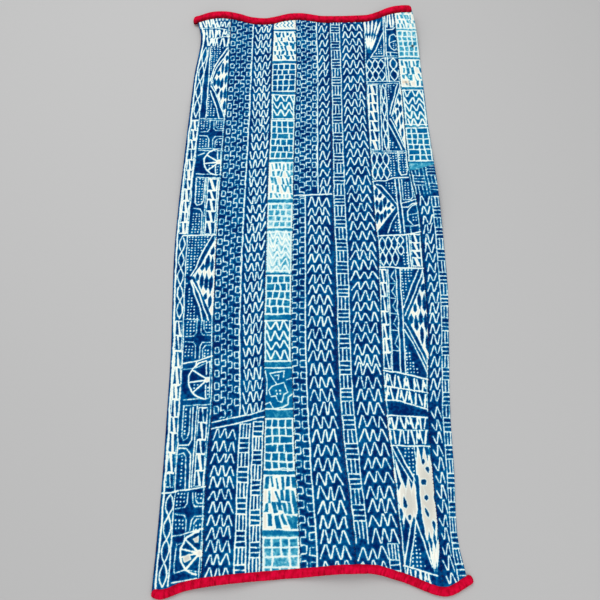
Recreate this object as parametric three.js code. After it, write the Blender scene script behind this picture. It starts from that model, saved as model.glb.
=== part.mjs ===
// Ndop cloth: panels of hand-woven cotton, resist-dyed in indigo and sewn edge to edge, with a
// red binding folded over each end. It lies face up, flat where it touches the surface, with
// its bound ends and side edges lifted in soft ripples.
// Millimetres. +X across the cloth, +Y towards its far end, +Z up, origin under the middle of its box.

import * as THREE from 'three';

// Driving sizes
const CLOTH_THICKNESS = 1.8;
const PIECE_GAP = 0.3;
const BINDING_HEIGHT = 6.6;
const BINDING_CORNER = 2.6;
const BINDING_LIP_CORNER = 1.1;
const SLOT_CLEARANCE = 0.45;
const SLOT_PAST_MIDDLE = 2.5;
const TUCK_PAST_MIDDLE = 1.2;
const RISE_HOLD = 14;
const RISE_REACH = 60;
const CROSS_SEAM_STATION = 0.656;

// The binding stands lower than the cloth's underside, so the cloth climbs by this much to meet it.
const BINDING_RISE = (BINDING_HEIGHT - CLOTH_THICKNESS) / 2;
const SLOT_HALF_HEIGHT = CLOTH_THICKNESS / 2 + SLOT_CLEARANCE;

// Distances in from each bound end at which the cloth has a row of points, then the middle rows.
const END_ROW_DISTANCES = [0, 10.5, 26, 45, 68, 95, 125, 160];
const MIDDLE_ROWS = 18;
const NOMINAL_LENGTH = 1190;

// Straight-across guide line of each end, from which the seams' table is read.
const NEAR_GUIDE_Y = -605;
const FAR_GUIDE_Y = 600;

// Where the sides and the seams between panels run: one row for each level of the cloth.
const SEAM_ROWS = [
  { y: 600, left: -254, meander: -173, pale: -77, ladder: -27, basket: 50, right: 128, edge: 197, side: 238 },
  { y: 545, left: -242, meander: -175, pale: -78, ladder: -26, basket: 50, right: 129, edge: 200, side: 247 },
  { y: 450, left: -251, meander: -175, pale: -80, ladder: -25, basket: 51, right: 128, edge: 204, side: 253 },
  { y: 300, left: -255, meander: -177, pale: -80, ladder: -28, basket: 50, right: 128, edge: 207, side: 257 },
  { y: 200, left: -258, meander: -178, pale: -82, ladder: -30, basket: 50, right: 130, edge: 209, side: 259 },
  { y: 100, left: -262, meander: -180, pale: -83, ladder: -31, basket: 49, right: 132, edge: 221, side: 263 },
  { y: 0, left: -263, meander: -182, pale: -83, ladder: -32, basket: 50, right: 136, edge: 223, side: 266 },
  { y: -100, left: -259, meander: -180, pale: -84, ladder: -33, basket: 51, right: 135, edge: 222, side: 265 },
  { y: -200, left: -254, meander: -176, pale: -84, ladder: -33, basket: 51, right: 133, edge: 219, side: 258 },
  { y: -320, left: -252, meander: -172, pale: -79, ladder: -29, basket: 53, right: 134, edge: 210, side: 249 },
  { y: -430, left: -251, meander: -176, pale: -80, ladder: -25, basket: 60, right: 142, edge: 209, side: 246 },
  { y: -530, left: -252, meander: -175, pale: -80, ladder: -19, basket: 69, right: 147, edge: 211, side: 242 },
  { y: -610, left: -253, meander: -175, pale: -78, ladder: -16, basket: 74, right: 150, edge: 211, side: 252 },
];

// Middle line of each binding, seen from above: one row for each turn of its wave.
const FAR_END_ROWS = [
  { x: -261, y: 579 },
  { x: -201, y: 574.5 },
  { x: -148, y: 582.5 },
  { x: -100, y: 578.5 },
  { x: -45, y: 584 },
  { x: 30, y: 584.5 },
  { x: 125, y: 587 },
  { x: 177, y: 591.5 },
  { x: 215, y: 589.5 },
  { x: 245, y: 590 },
];
const NEAR_END_ROWS = [
  { x: -260, y: -618 },
  { x: -238, y: -624 },
  { x: -200, y: -612 },
  { x: -150, y: -604 },
  { x: -20, y: -593 },
  { x: 95, y: -587 },
  { x: 150, y: -600 },
  { x: 200, y: -618 },
  { x: 222, y: -619 },
  { x: 260, y: -599 },
];

// Lifted folds: the crest's place and height, and how far it falls away each way.
const FOLD_ROWS = [
  { fold: 'far end, left crest', x: -201, y: 590, height: 24, reachX: 78, reachY: 165 },
  { fold: 'far end, middle crest', x: -25, y: 590, height: 9, reachX: 72, reachY: 95 },
  { fold: 'far end, right crest', x: 221, y: 604, height: 27, reachX: 90, reachY: 185 },
  { fold: 'left side, curl', x: -268, y: 230, height: 10, reachX: 52, reachY: 235 },
  { fold: 'right side, curl', x: 272, y: 140, height: 15, reachX: 64, reachY: 170 },
  { fold: 'pucker by the pale strip', x: -80, y: -318, height: 5, reachX: 40, reachY: 70 },
  { fold: 'pucker in the right panel', x: 195, y: -330, height: 4, reachX: 62, reachY: 48 },
  { fold: 'near end, left crest', x: -135, y: -602, height: 8, reachX: 80, reachY: 90 },
  { fold: 'near end, middle crest', x: 62, y: -596, height: 12, reachX: 105, reachY: 120 },
];

// Panels from left to right: the seams that bound each one, its columns of points and its dye.
const PANELS = [
  { name: 'left_panel', from: 'left', to: 'meander', columns: 6, dye: 'indigo' },
  { name: 'meander_panel', from: 'meander', to: 'pale', columns: 6, dye: 'indigo' },
  { name: 'pale_strip', from: 'pale', to: 'ladder', columns: 4, dye: 'pale' },
  { name: 'ladder_panel', from: 'ladder', to: 'basket', columns: 5, dye: 'indigo' },
  { name: 'basket_panel', from: 'basket', to: 'right', columns: 5, dye: 'indigo' },
  { name: 'right_panel', from: 'right', to: 'edge', columns: 5, dye: 'indigo' },
  { name: 'edge_strip_far', from: 'edge', to: 'side', columns: 4, dye: 'pale', part: 'far' },
  { name: 'edge_strip_near', from: 'edge', to: 'side', columns: 4, dye: 'indigo', part: 'near' },
];

// Bindings: the end that each one covers, its width, and how far its tips pass the cloth's sides.
const BINDINGS = [
  { name: 'binding_far', station: 1, outward: 1, width: 19, leftOverhang: 8, rightOverhang: 4 },
  { name: 'binding_near', station: 0, outward: -1, width: 15, leftOverhang: 2.5, rightOverhang: 8 },
];

// How a binding's section shrinks over its rounded tips, by the share of the overhang passed.
const TIP_ROWS = [
  { reach: 0.6, scale: 0.88 },
  { reach: 1, scale: 0.55 },
];

const COLOURS = { indigo: 0x0c3f8e, pale: 0x9fcdd6, red: 0xc4123a };

// A smooth curve through a table's rows, by cubic pieces whose slopes come from each row's neighbours.
function curveThrough(rows, along, value) {
  const sorted = [...rows].sort((a, b) => a[along] - b[along]);
  const at = sorted.map((row) => row[along]);
  const of = sorted.map((row) => row[value]);
  const last = sorted.length - 1;
  const slope = (i) => {
    const before = Math.max(i - 1, 0);
    const after = Math.min(i + 1, last);
    return (of[after] - of[before]) / (at[after] - at[before]);
  };
  return (position) => {
    let i = 0;
    while (i < last - 1 && position > at[i + 1]) {
      i += 1;
    }
    const span = at[i + 1] - at[i];
    const s = THREE.MathUtils.clamp((position - at[i]) / span, 0, 1);
    const rest = 1 - s;
    const held = of[i] * (1 + 2 * s) * rest * rest + of[i + 1] * (3 - 2 * s) * s * s;
    return held + span * s * rest * (slope(i) * rest - slope(i + 1) * s);
  };
}

const farEnd = curveThrough(FAR_END_ROWS, 'x', 'y');
const nearEnd = curveThrough(NEAR_END_ROWS, 'x', 'y');
const seamNames = Object.keys(SEAM_ROWS[0]).filter((key) => key !== 'y');
const seams = Object.fromEntries(seamNames.map((name) => [name, curveThrough(SEAM_ROWS, 'y', name)]));

// A rounded crest that is 1 at its middle and exactly 0 past its reach.
function crest(offset, reach) {
  const s = Math.abs(offset) / reach;
  return s < 1 ? Math.cos((s * Math.PI) / 2) ** 2 : 0;
}

// Height of the cloth's underside above the surface it lies on.
function underside(x, y) {
  const fromEnd = Math.min(farEnd(x) - y, y - nearEnd(x));
  let z = BINDING_RISE * (1 - THREE.MathUtils.smoothstep(fromEnd, RISE_HOLD, RISE_REACH));
  for (const fold of FOLD_ROWS) {
    z += fold.height * crest(x - fold.x, fold.reachX) * crest(y - fold.y, fold.reachY);
  }
  return z;
}

// Rows of points along the cloth, as fractions of its length from the near end to the far end,
// one of them at the cross seam, so that panels side by side bend at the same places.
function rowStations() {
  const near = END_ROW_DISTANCES.map((distance) => distance / NOMINAL_LENGTH);
  const first = near[near.length - 1];
  const middle = [];
  for (let i = 1; i < MIDDLE_ROWS; i += 1) {
    middle.push(first + ((1 - 2 * first) * i) / MIDDLE_ROWS);
  }
  const far = near.map((station) => 1 - station).reverse();
  return [...near, ...middle, CROSS_SEAM_STATION, ...far].sort((a, b) => a - b);
}

// The y of a point of the cloth, whose ends lie inside the bindings' slots.
function pointY(x, station) {
  const near = nearEnd(x) - TUCK_PAST_MIDDLE;
  const far = farEnd(x) + TUCK_PAST_MIDDLE;
  return THREE.MathUtils.lerp(near, far, station);
}

// The x of a panel's column at one station, held half a gap back from both seams.
function pointX(panel, column, station) {
  const guide = THREE.MathUtils.lerp(NEAR_GUIDE_Y, FAR_GUIDE_Y, station);
  const from = seams[panel.from](guide) + PIECE_GAP / 2;
  const to = seams[panel.to](guide) - PIECE_GAP / 2;
  return THREE.MathUtils.lerp(from, to, column / panel.columns);
}

// The stations that one panel covers: all of them, or those on its own side of the cross seam.
function panelStations(panel) {
  const all = rowStations();
  const halfGap = PIECE_GAP / 2 / NOMINAL_LENGTH;
  if (panel.part === 'far') {
    const cut = CROSS_SEAM_STATION + halfGap;
    return [cut, ...all.filter((station) => station > cut)];
  }
  if (panel.part === 'near') {
    const cut = CROSS_SEAM_STATION - halfGap;
    return [...all.filter((station) => station < cut), cut];
  }
  return all;
}

// A closed sheet of the cloth's thickness over a grid of rows and columns of plan points.
function sheetGeometry(grid) {
  const rows = grid.length;
  const columns = grid[0].length;
  const position = [];
  for (const lift of [0, CLOTH_THICKNESS]) {
    for (const point of grid.flat()) {
      position.push(point.x, point.y, underside(point.x, point.y) + lift);
    }
  }
  const low = (r, c) => r * columns + c;
  const high = (r, c) => rows * columns + low(r, c);
  const index = [];
  const quad = (a, b, c, d) => index.push(a, b, c, a, c, d);
  for (let r = 0; r < rows - 1; r += 1) {
    for (let c = 0; c < columns - 1; c += 1) {
      quad(high(r, c), high(r, c + 1), high(r + 1, c + 1), high(r + 1, c));
      quad(low(r, c), low(r + 1, c), low(r + 1, c + 1), low(r, c + 1));
    }
  }
  const backRow = rows - 1;
  for (let c = 0; c < columns - 1; c += 1) {
    quad(low(0, c), low(0, c + 1), high(0, c + 1), high(0, c));
    quad(low(backRow, c + 1), low(backRow, c), high(backRow, c), high(backRow, c + 1));
  }
  const rightColumn = columns - 1;
  for (let r = 0; r < rows - 1; r += 1) {
    quad(low(r + 1, 0), low(r, 0), high(r, 0), high(r + 1, 0));
    quad(low(r, rightColumn), low(r + 1, rightColumn), high(r + 1, rightColumn), high(r, rightColumn));
  }
  return closedGeometry(position, index);
}

function closedGeometry(position, index) {
  const geometry = new THREE.BufferGeometry();
  geometry.setAttribute('position', new THREE.Float32BufferAttribute(position, 3));
  geometry.setIndex(index);
  geometry.computeVertexNormals();
  return geometry;
}

function panelGeometry(panel) {
  const grid = panelStations(panel).map((station) => {
    const row = [];
    for (let column = 0; column <= panel.columns; column += 1) {
      const x = pointX(panel, column, station);
      row.push({ x, y: pointY(x, station) });
    }
    return row;
  });
  return sheetGeometry(grid);
}

// The folded binding's section: out is away from the cloth, up is from the cloth's middle.
function bindingSection(width) {
  const halfWidth = width / 2;
  const halfHeight = BINDING_HEIGHT / 2;
  const roundTip = BINDING_CORNER * Math.SQRT1_2;
  const upper = [
    { out: -halfWidth, up: SLOT_HALF_HEIGHT },
    { out: -halfWidth, up: halfHeight - BINDING_LIP_CORNER },
    { out: -halfWidth + BINDING_LIP_CORNER, up: halfHeight },
    { out: halfWidth - BINDING_CORNER, up: halfHeight },
    { out: halfWidth - BINDING_CORNER + roundTip, up: halfHeight - BINDING_CORNER + roundTip },
    { out: halfWidth, up: halfHeight - BINDING_CORNER },
  ];
  const lower = upper.map((point) => ({ out: point.out, up: -point.up })).reverse();
  const slotEnd = [
    { out: SLOT_PAST_MIDDLE, up: -SLOT_HALF_HEIGHT },
    { out: SLOT_PAST_MIDDLE, up: SLOT_HALF_HEIGHT },
  ];
  return [...upper, ...lower, ...slotEnd];
}

// Stations along one binding: the panels' own columns at that end, then a rounded tip past each side.
function bindingStations(binding) {
  const stations = [];
  for (const panel of PANELS.filter((item) => panelStations(item).includes(binding.station))) {
    const firstColumn = stations.length === 0 ? 0 : 1;
    for (let column = firstColumn; column <= panel.columns; column += 1) {
      stations.push({ x: pointX(panel, column, binding.station), scale: 1 });
    }
  }
  const leftSide = stations[0].x;
  const rightSide = stations[stations.length - 1].x;
  const tipAt = (side, overhang) => TIP_ROWS.map((row) => {
    const x = side + row.reach * overhang;
    return { x, scale: row.scale };
  });
  const leftTip = tipAt(leftSide, -binding.leftOverhang).reverse();
  return [...leftTip, ...stations, ...tipAt(rightSide, binding.rightOverhang)];
}

// A folded strip along one end of the cloth, its slot open towards the cloth.
function bindingGeometry(binding) {
  const { outward } = binding;
  const endLine = outward > 0 ? farEnd : nearEnd;
  const section = bindingSection(binding.width);
  const count = section.length;
  const position = [];
  const stations = bindingStations(binding);
  for (const { x, scale } of stations) {
    const middleY = endLine(x);
    for (const point of section) {
      const y = middleY + outward * point.out * scale;
      position.push(x, y, underside(x, y) + CLOTH_THICKNESS / 2 + point.up * scale);
    }
  }
  const index = [];
  const face = (a, b, c) => index.push(...(outward > 0 ? [a, b, c] : [a, c, b]));
  for (let i = 0; i < stations.length - 1; i += 1) {
    for (let k = 0; k < count; k += 1) {
      const a = i * count + k;
      const b = i * count + ((k + 1) % count);
      face(a, a + count, b + count);
      face(a, b + count, b);
    }
  }
  const outline = section.map((point) => new THREE.Vector2(point.out, point.up));
  const lastRing = (stations.length - 1) * count;
  for (const [a, b, c] of THREE.ShapeUtils.triangulateShape(outline, [])) {
    const turnsLeft = outline[b].clone().sub(outline[a]).cross(outline[c].clone().sub(outline[a])) > 0;
    const [p, q, s] = turnsLeft ? [a, b, c] : [a, c, b];
    face(p, s, q);
    face(lastRing + p, lastRing + q, lastRing + s);
  }
  return closedGeometry(position, index);
}

function clothMesh(name, geometry, dye) {
  const material = new THREE.MeshStandardMaterial({ color: COLOURS[dye], roughness: 0.92, metalness: 0 });
  const mesh = new THREE.Mesh(geometry, material);
  mesh.name = name;
  return mesh;
}

const cloth = new THREE.Group();
for (const panel of PANELS) {
  cloth.add(clothMesh(panel.name, panelGeometry(panel), panel.dye));
}
for (const binding of BINDINGS) {
  cloth.add(clothMesh(binding.name, bindingGeometry(binding), 'red'));
}

const box = new THREE.Box3().setFromObject(cloth);
const middle = box.getCenter(new THREE.Vector3());
cloth.position.set(-middle.x, -middle.y, -box.min.z);

export default cloth;
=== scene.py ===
"""Ndop cloth, laid face up: resist-dyed indigo cotton panels between two red bindings.

Plan sizes are in millimetres, as in the part's own tables, and meshes are in metres.
"""

from __future__ import annotations

import logging
import math
from collections.abc import Callable, Sequence
from dataclasses import dataclass
from enum import Enum

import bmesh
import bpy
import numpy as np
from mathutils import Euler, Matrix, Vector

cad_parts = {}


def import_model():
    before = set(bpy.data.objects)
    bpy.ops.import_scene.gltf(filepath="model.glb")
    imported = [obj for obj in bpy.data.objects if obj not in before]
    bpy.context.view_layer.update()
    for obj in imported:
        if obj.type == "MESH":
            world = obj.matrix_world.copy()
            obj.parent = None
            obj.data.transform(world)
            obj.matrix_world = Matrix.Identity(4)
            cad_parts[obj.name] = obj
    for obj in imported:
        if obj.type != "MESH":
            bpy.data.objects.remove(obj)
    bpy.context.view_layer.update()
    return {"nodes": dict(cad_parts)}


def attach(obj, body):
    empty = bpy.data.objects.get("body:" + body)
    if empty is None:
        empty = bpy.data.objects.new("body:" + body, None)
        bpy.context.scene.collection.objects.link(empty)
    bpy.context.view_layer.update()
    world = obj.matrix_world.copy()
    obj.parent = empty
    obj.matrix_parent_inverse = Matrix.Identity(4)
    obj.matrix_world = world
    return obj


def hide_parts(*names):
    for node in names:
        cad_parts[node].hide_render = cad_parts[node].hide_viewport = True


LOG = logging.getLogger("ndop_cloth")

MM = 0.001
BODY = "root"
PATCH_CELLS = 97
TINY = 1e-6
Point = tuple[float, float]
Span = tuple[float, float]


# Cloth plan: the same driving sizes and tables as the solids


CLOTH_THICKNESS = 1.8
PIECE_GAP = 0.3
BINDING_HEIGHT = 6.6
BINDING_RISE = (BINDING_HEIGHT - CLOTH_THICKNESS) / 2
TUCK_PAST_MIDDLE = 1.2
RISE_HOLD = 14.0
RISE_REACH = 60.0
NEAR_GUIDE_Y = -605.0
FAR_GUIDE_Y = 600.0
CROSS_SEAM_STATION = 0.656
NOMINAL_LENGTH = 1190.0

# From the tables' origin to the frame's, which is under the middle of the box.
FRAME_SHIFT = (-1.536, 15.287)

# The viewpoint that the charts were read from.
EYE = (-17.0, -586.8, 1125.5)

SEAM_NAMES = ("left", "meander", "pale", "ladder", "basket", "right", "edge", "side")
SEAM_ROWS = {
    600: (-254, -173, -77, -27, 50, 128, 197, 238),
    545: (-242, -175, -78, -26, 50, 129, 200, 247),
    450: (-251, -175, -80, -25, 51, 128, 204, 253),
    300: (-255, -177, -80, -28, 50, 128, 207, 257),
    200: (-258, -178, -82, -30, 50, 130, 209, 259),
    100: (-262, -180, -83, -31, 49, 132, 221, 263),
    0: (-263, -182, -83, -32, 50, 136, 223, 266),
    -100: (-259, -180, -84, -33, 51, 135, 222, 265),
    -200: (-254, -176, -84, -33, 51, 133, 219, 258),
    -320: (-252, -172, -79, -29, 53, 134, 210, 249),
    -430: (-251, -176, -80, -25, 60, 142, 209, 246),
    -530: (-252, -175, -80, -19, 69, 147, 211, 242),
    -610: (-253, -175, -78, -16, 74, 150, 211, 252),
}
FAR_END_ROWS = (
    (-261, 579), (-201, 574.5), (-148, 582.5), (-100, 578.5), (-45, 584),
    (30, 584.5), (125, 587), (177, 591.5), (215, 589.5), (245, 590),
)
NEAR_END_ROWS = (
    (-260, -618), (-238, -624), (-200, -612), (-150, -604), (-20, -593),
    (95, -587), (150, -600), (200, -618), (222, -619), (260, -599),
)


@dataclass(frozen=True)
class Fold:
    """A lifted crest: its place, its height and how far it falls away each way."""

    x: float
    y: float
    height: float
    reach_x: float
    reach_y: float


FOLDS = (
    Fold(-201, 590, 24, 78, 165),
    Fold(-25, 590, 9, 72, 95),
    Fold(221, 604, 27, 90, 185),
    Fold(-268, 230, 10, 52, 235),
    Fold(272, 140, 15, 64, 170),
    Fold(-80, -318, 5, 40, 70),
    Fold(195, -330, 4, 62, 48),
    Fold(-135, -602, 8, 80, 90),
    Fold(62, -596, 12, 105, 120),
)


class SmoothCurve:
    """A cubic curve through rows of position and value, sloped by each row's neighbours."""

    def __init__(self, rows: Sequence[Point]) -> None:
        """Sort the rows and work out the slope at each one.

        Args:
            rows: pairs of position and value, in any order.
        """
        ordered = sorted(rows)
        self.at = np.array([row[0] for row in ordered], float)
        self.of = np.array([row[1] for row in ordered], float)
        index = np.arange(len(ordered))
        before = np.maximum(index - 1, 0)
        after = np.minimum(index + 1, len(ordered) - 1)
        self.slope = (self.of[after] - self.of[before]) / (self.at[after] - self.at[before])

    def __call__(self, position: np.ndarray | float) -> np.ndarray:
        """Read the curve.

        Args:
            position: where to read it.

        Returns:
            The value at each position.
        """
        place = np.asarray(position, float)
        i = np.clip(np.searchsorted(self.at, place) - 1, 0, len(self.at) - 2)
        span = self.at[i + 1] - self.at[i]
        s = np.clip((place - self.at[i]) / span, 0, 1)
        rest = 1 - s
        held = self.of[i] * (1 + 2 * s) * rest**2 + self.of[i + 1] * (3 - 2 * s) * s**2
        return held + span * s * rest * (self.slope[i] * rest - self.slope[i + 1] * s)


FAR_END = SmoothCurve(FAR_END_ROWS)
NEAR_END = SmoothCurve(NEAR_END_ROWS)
SEAMS = {
    name: SmoothCurve([(y, row[i]) for y, row in SEAM_ROWS.items()])
    for i, name in enumerate(SEAM_NAMES)
}


def smooth_step(low: float, high: float, value: np.ndarray) -> np.ndarray:
    """Ease from 0 at low to 1 at high.

    Args:
        low: where the ease starts.
        high: where it ends.
        value: what is eased.

    Returns:
        The eased value, from 0 to 1.
    """
    s = np.clip((value - low) / (high - low), 0, 1)
    return s * s * (3 - 2 * s)


def crest(offset: np.ndarray, reach: float) -> np.ndarray:
    """A rounded crest, 1 at its middle and exactly 0 past its reach.

    Args:
        offset: distance from the crest's middle.
        reach: where it has fallen to the surface.

    Returns:
        The crest's share at each offset.
    """
    return np.cos(np.clip(np.abs(offset) / reach, 0, 1) * math.pi / 2) ** 2


def underside(x: np.ndarray, y: np.ndarray) -> np.ndarray:
    """Height of the cloth's underside above the surface it lies on.

    Args:
        x: plan positions across the cloth.
        y: plan positions along it.

    Returns:
        Heights in millimetres.
    """
    from_end = np.minimum(FAR_END(x) - y, y - NEAR_END(x))
    z = BINDING_RISE * (1 - smooth_step(RISE_HOLD, RISE_REACH, from_end))
    for fold in FOLDS:
        z = z + fold.height * crest(x - fold.x, fold.reach_x) * crest(y - fold.y, fold.reach_y)
    return z


def as_charted(x: np.ndarray, y: np.ndarray, z: np.ndarray) -> tuple[np.ndarray, np.ndarray]:
    """Where a point of the cloth stands on the charts, which were read as if it all lay flat.

    Args:
        x: plan positions across the cloth.
        y: plan positions along it.
        z: heights, which push a point outwards from below the eye.

    Returns:
        Chart positions across and along.
    """
    spread = EYE[2] / (EYE[2] - z)
    return EYE[0] + (x - EYE[0]) * spread, EYE[1] + (y - EYE[1]) * spread


def patchy(x: np.ndarray, y: np.ndarray, pitch: float, seed: int) -> np.ndarray:
    """Smooth random patches, the same on each run.

    Args:
        x: plan positions across.
        y: plan positions along.
        pitch: distance between patches in millimetres.
        seed: which set of patches.

    Returns:
        Values from -1 to 1.
    """
    table = np.random.default_rng(seed).uniform(-1, 1, (PATCH_CELLS, PATCH_CELLS))
    column = np.floor(x / pitch).astype(int)
    row = np.floor(y / pitch).astype(int)
    fx = smooth_step(0, 1, x / pitch - column)
    fy = smooth_step(0, 1, y / pitch - row)
    low, high = (
        table[(row + j) % PATCH_CELLS, column % PATCH_CELLS] * (1 - fx)
        + table[(row + j) % PATCH_CELLS, (column + 1) % PATCH_CELLS] * fx
        for j in (0, 1)
    )
    return low * (1 - fy) + high * fy


# Resist dyeing: undyed lines are held as a signed distance over the cloth


# Half widths of stitched-off lines and the radius and spacing of tied-off dots, in millimetres.
BOLD = 1.25
STRONG = 1.1
BAR = 0.95
LINE = 0.92
NET = 0.88
THIN_BAR = 0.78
FINE = 0.6
DOT = 1.2
DOT_PITCH = 6.0

# How far stitched corners stray by hand, how far a turn's corner is cut and how far the field reaches.
HAND = 0.45
EASE = 1.3
FAR_FROM_LINES = 9.0

# A change of dye eases over this far each way.
TONE_EDGE = 1.5

# A zigzag's half height, its rounded tips, and the gaps where a stitch was left out.
LIFT_SHARE = 0.45
LEAST_LIFT = 8.5
TIP_EASE = 1.1
GAP_CHANCE = 0.10
GAP_LENGTH = 2.0

# Least and greatest height of a small square, as shares of its pitch, and the least of a basket block.
BOX_SHARES = (0.5, 0.6)
LAST_BLOCK_SHARE = 0.6

# Points that draw one leaf of a chain, and the share of a lozenge's length that is straight.
POINTS_PER_LEAF = 6
LOZENGE_SIDE = 0.36


def eased_turn(left: float, right: float, high: float, low: float) -> list[Point]:
    """Corners of a line that turns to the right and back, each one cut short.

    Args:
        left: where it starts and ends.
        right: how far it goes.
        high: its upper run's place.
        low: its lower run's.

    Returns:
        Seven points, up to where the lower run ends.
    """
    return [(left, high - EASE), (left + EASE, high), (right - EASE, high), (right, high - EASE),
            (right, low + EASE), (right - EASE, low), (left + EASE, low)]


class ResistPainter:
    """Draws stitched-off lines over a grid of cloth points.

    The field holds, at each point, how far in millimetres it lies inside an undyed line.
    It is negative in the dyed ground, by the distance to the nearest line.
    """

    def __init__(self, across: np.ndarray, along: np.ndarray, rng: np.random.Generator,
                 field: np.ndarray | None = None) -> None:
        """Hold the grid and the fields drawn on it.

        Args:
            across: position across the cloth of each row and column of points.
            along: position along it.
            rng: the hand's unevenness.
            field: an existing field to go on drawing on.
        """
        self.across = across
        self.along = along
        self.rng = rng
        self.field = np.full(across.shape, -FAR_FROM_LINES) if field is None else field
        self.tone = np.zeros(across.shape)
        self.stain = np.zeros(across.shape)
        self.columns = (across.min(0), across.max(0))
        self.rows = (along.min(1), along.max(1))

    def beside(self, offset: np.ndarray) -> ResistPainter:
        """A painter of the same field that measures across from a line along the cloth.

        Args:
            offset: that line's place at each point.

        Returns:
            The shifted painter.
        """
        return ResistPainter(self.across - offset, self.along, self.rng, self.field)

    def window(self, xs: Sequence[float], ys: Sequence[float],
               margin: float) -> tuple[slice, slice] | None:
        """The block of points around some places.

        Args:
            xs: places across.
            ys: places along.
            margin: how much further to look.

        Returns:
            Slices of rows and columns, or None where there are no points.
        """
        columns = np.flatnonzero(
            (self.columns[1] >= min(xs) - margin) & (self.columns[0] <= max(xs) + margin)
        )
        rows = np.flatnonzero((self.rows[1] >= min(ys) - margin) & (self.rows[0] <= max(ys) + margin))
        if not len(columns) or not len(rows):
            return None
        return slice(rows[0], rows[-1] + 1), slice(columns[0], columns[-1] + 1)

    def mark(self, window: tuple[slice, slice], inside: np.ndarray, carve: bool) -> None:
        """Add an undyed shape to the field, or dye one into it.

        Args:
            window: the block of points.
            inside: how far each lies inside the shape.
            carve: whether the shape is dyed instead.
        """
        if carve:
            self.field[window] = np.minimum(self.field[window], -inside)
        else:
            self.field[window] = np.maximum(self.field[window], inside)

    def stroke(self, points: Sequence[Point], half: float = LINE, carve: bool = False,
               hand: float = HAND) -> None:
        """Draw straight runs between points, each a little off by hand.

        Args:
            points: the corners.
            half: half the line's width.
            carve: whether it is dyed instead.
            hand: how far the corners stray.
        """
        corners = np.array(points, float) + self.rng.normal(0, hand, (len(points), 2))
        half = half * self.rng.uniform(0.88, 1.12)
        for a, b in zip(corners[:-1], corners[1:]):
            window = self.window((a[0], b[0]), (a[1], b[1]), half + FAR_FROM_LINES / 2)
            if window is None:
                continue
            px = self.across[window] - a[0]
            py = self.along[window] - a[1]
            run = b - a
            s = np.clip((px * run[0] + py * run[1]) / max(run @ run, TINY), 0, 1)
            self.mark(window, half - np.hypot(px - s * run[0], py - s * run[1]), carve)

    def line(self, *points: Point, half: float = LINE, step: float = 14.0, carve: bool = False) -> None:
        """Draw a long line with the slow wander of hand stitching.

        Args:
            points: its corners.
            half: half its width.
            step: distance between wanders.
            carve: whether it is dyed instead.
        """
        walk = [points[0]]
        for a, b in zip(points[:-1], points[1:]):
            count = max(1, round(math.dist(a, b) / step))
            walk += [(a[0] + (b[0] - a[0]) * i / count, a[1] + (b[1] - a[1]) * i / count)
                     for i in range(1, count + 1)]
        self.stroke(walk, half, carve)

    def double(self, a: Point, b: Point, gap: float, half: float = FINE) -> None:
        """Two lines side by side, the second one nearer by a gap.

        Args:
            a: where the first starts.
            b: where it ends.
            gap: from one middle to the other.
            half: half of each width.
        """
        self.line(a, b, half=half)
        self.line((a[0], a[1] - gap), (b[0], b[1] - gap), half=half)

    def shape(self, corners: Sequence[Point], carve: bool = False, hand: float = HAND) -> None:
        """Leave a whole shape undyed, or dye it. Its corners turn one way all round.

        Args:
            corners: the outline.
            carve: whether it is dyed instead.
            hand: how far the corners stray.
        """
        outline = np.array(corners, float) + self.rng.normal(0, hand, (len(corners), 2))
        window = self.window(outline[:, 0], outline[:, 1], FAR_FROM_LINES / 2)
        if window is None:
            return
        after = np.roll(outline, -1, axis=0)
        turn = np.sign(np.sum(outline[:, 0] * after[:, 1] - after[:, 0] * outline[:, 1]))
        inside = np.full(self.across[window].shape, np.inf)
        for a, b in zip(outline, after):
            run = (b - a) / max(np.hypot(*(b - a)), TINY)
            side = run[0] * (self.along[window] - a[1]) - run[1] * (self.across[window] - a[0])
            inside = np.minimum(inside, turn * side)
        self.mark(window, inside, carve)

    def spindle(self, a: Point, b: Point, width: float, carve: bool = False) -> None:
        """A long lozenge between two points.

        Args:
            a: one tip.
            b: the other tip.
            width: its width in the middle.
            carve: whether it is dyed instead.
        """
        run = np.subtract(b, a)
        length = max(float(np.hypot(*run)), TINY)
        side = np.array((-run[1], run[0])) / length * width / 2
        share = self.rng.uniform(0.35, 0.65)
        near = np.add(a, run * (share - LOZENGE_SIDE / 2))
        far = np.add(a, run * (share + LOZENGE_SIDE / 2))
        self.shape([a, near + side, far + side, b, far - side, near - side], carve, HAND / 2)

    def dot(self, x: float, y: float, radius: float = DOT) -> None:
        """One tied-off dot, set on the nearest cloth point so that all dots show alike.

        Args:
            x: place across.
            y: place along.
            radius: its radius.
        """
        window = self.window((x, x), (y, y), radius + FAR_FROM_LINES / 2)
        if window is None:
            return
        away = np.hypot(self.across[window] - x, self.along[window] - y)
        nearest = np.unravel_index(np.argmin(away), away.shape)
        cx = self.across[window][nearest]
        cy = self.along[window][nearest]
        size = radius * self.rng.uniform(0.8, 1.15)
        self.mark(window, size - np.hypot(self.across[window] - cx, self.along[window] - cy), False)

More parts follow.
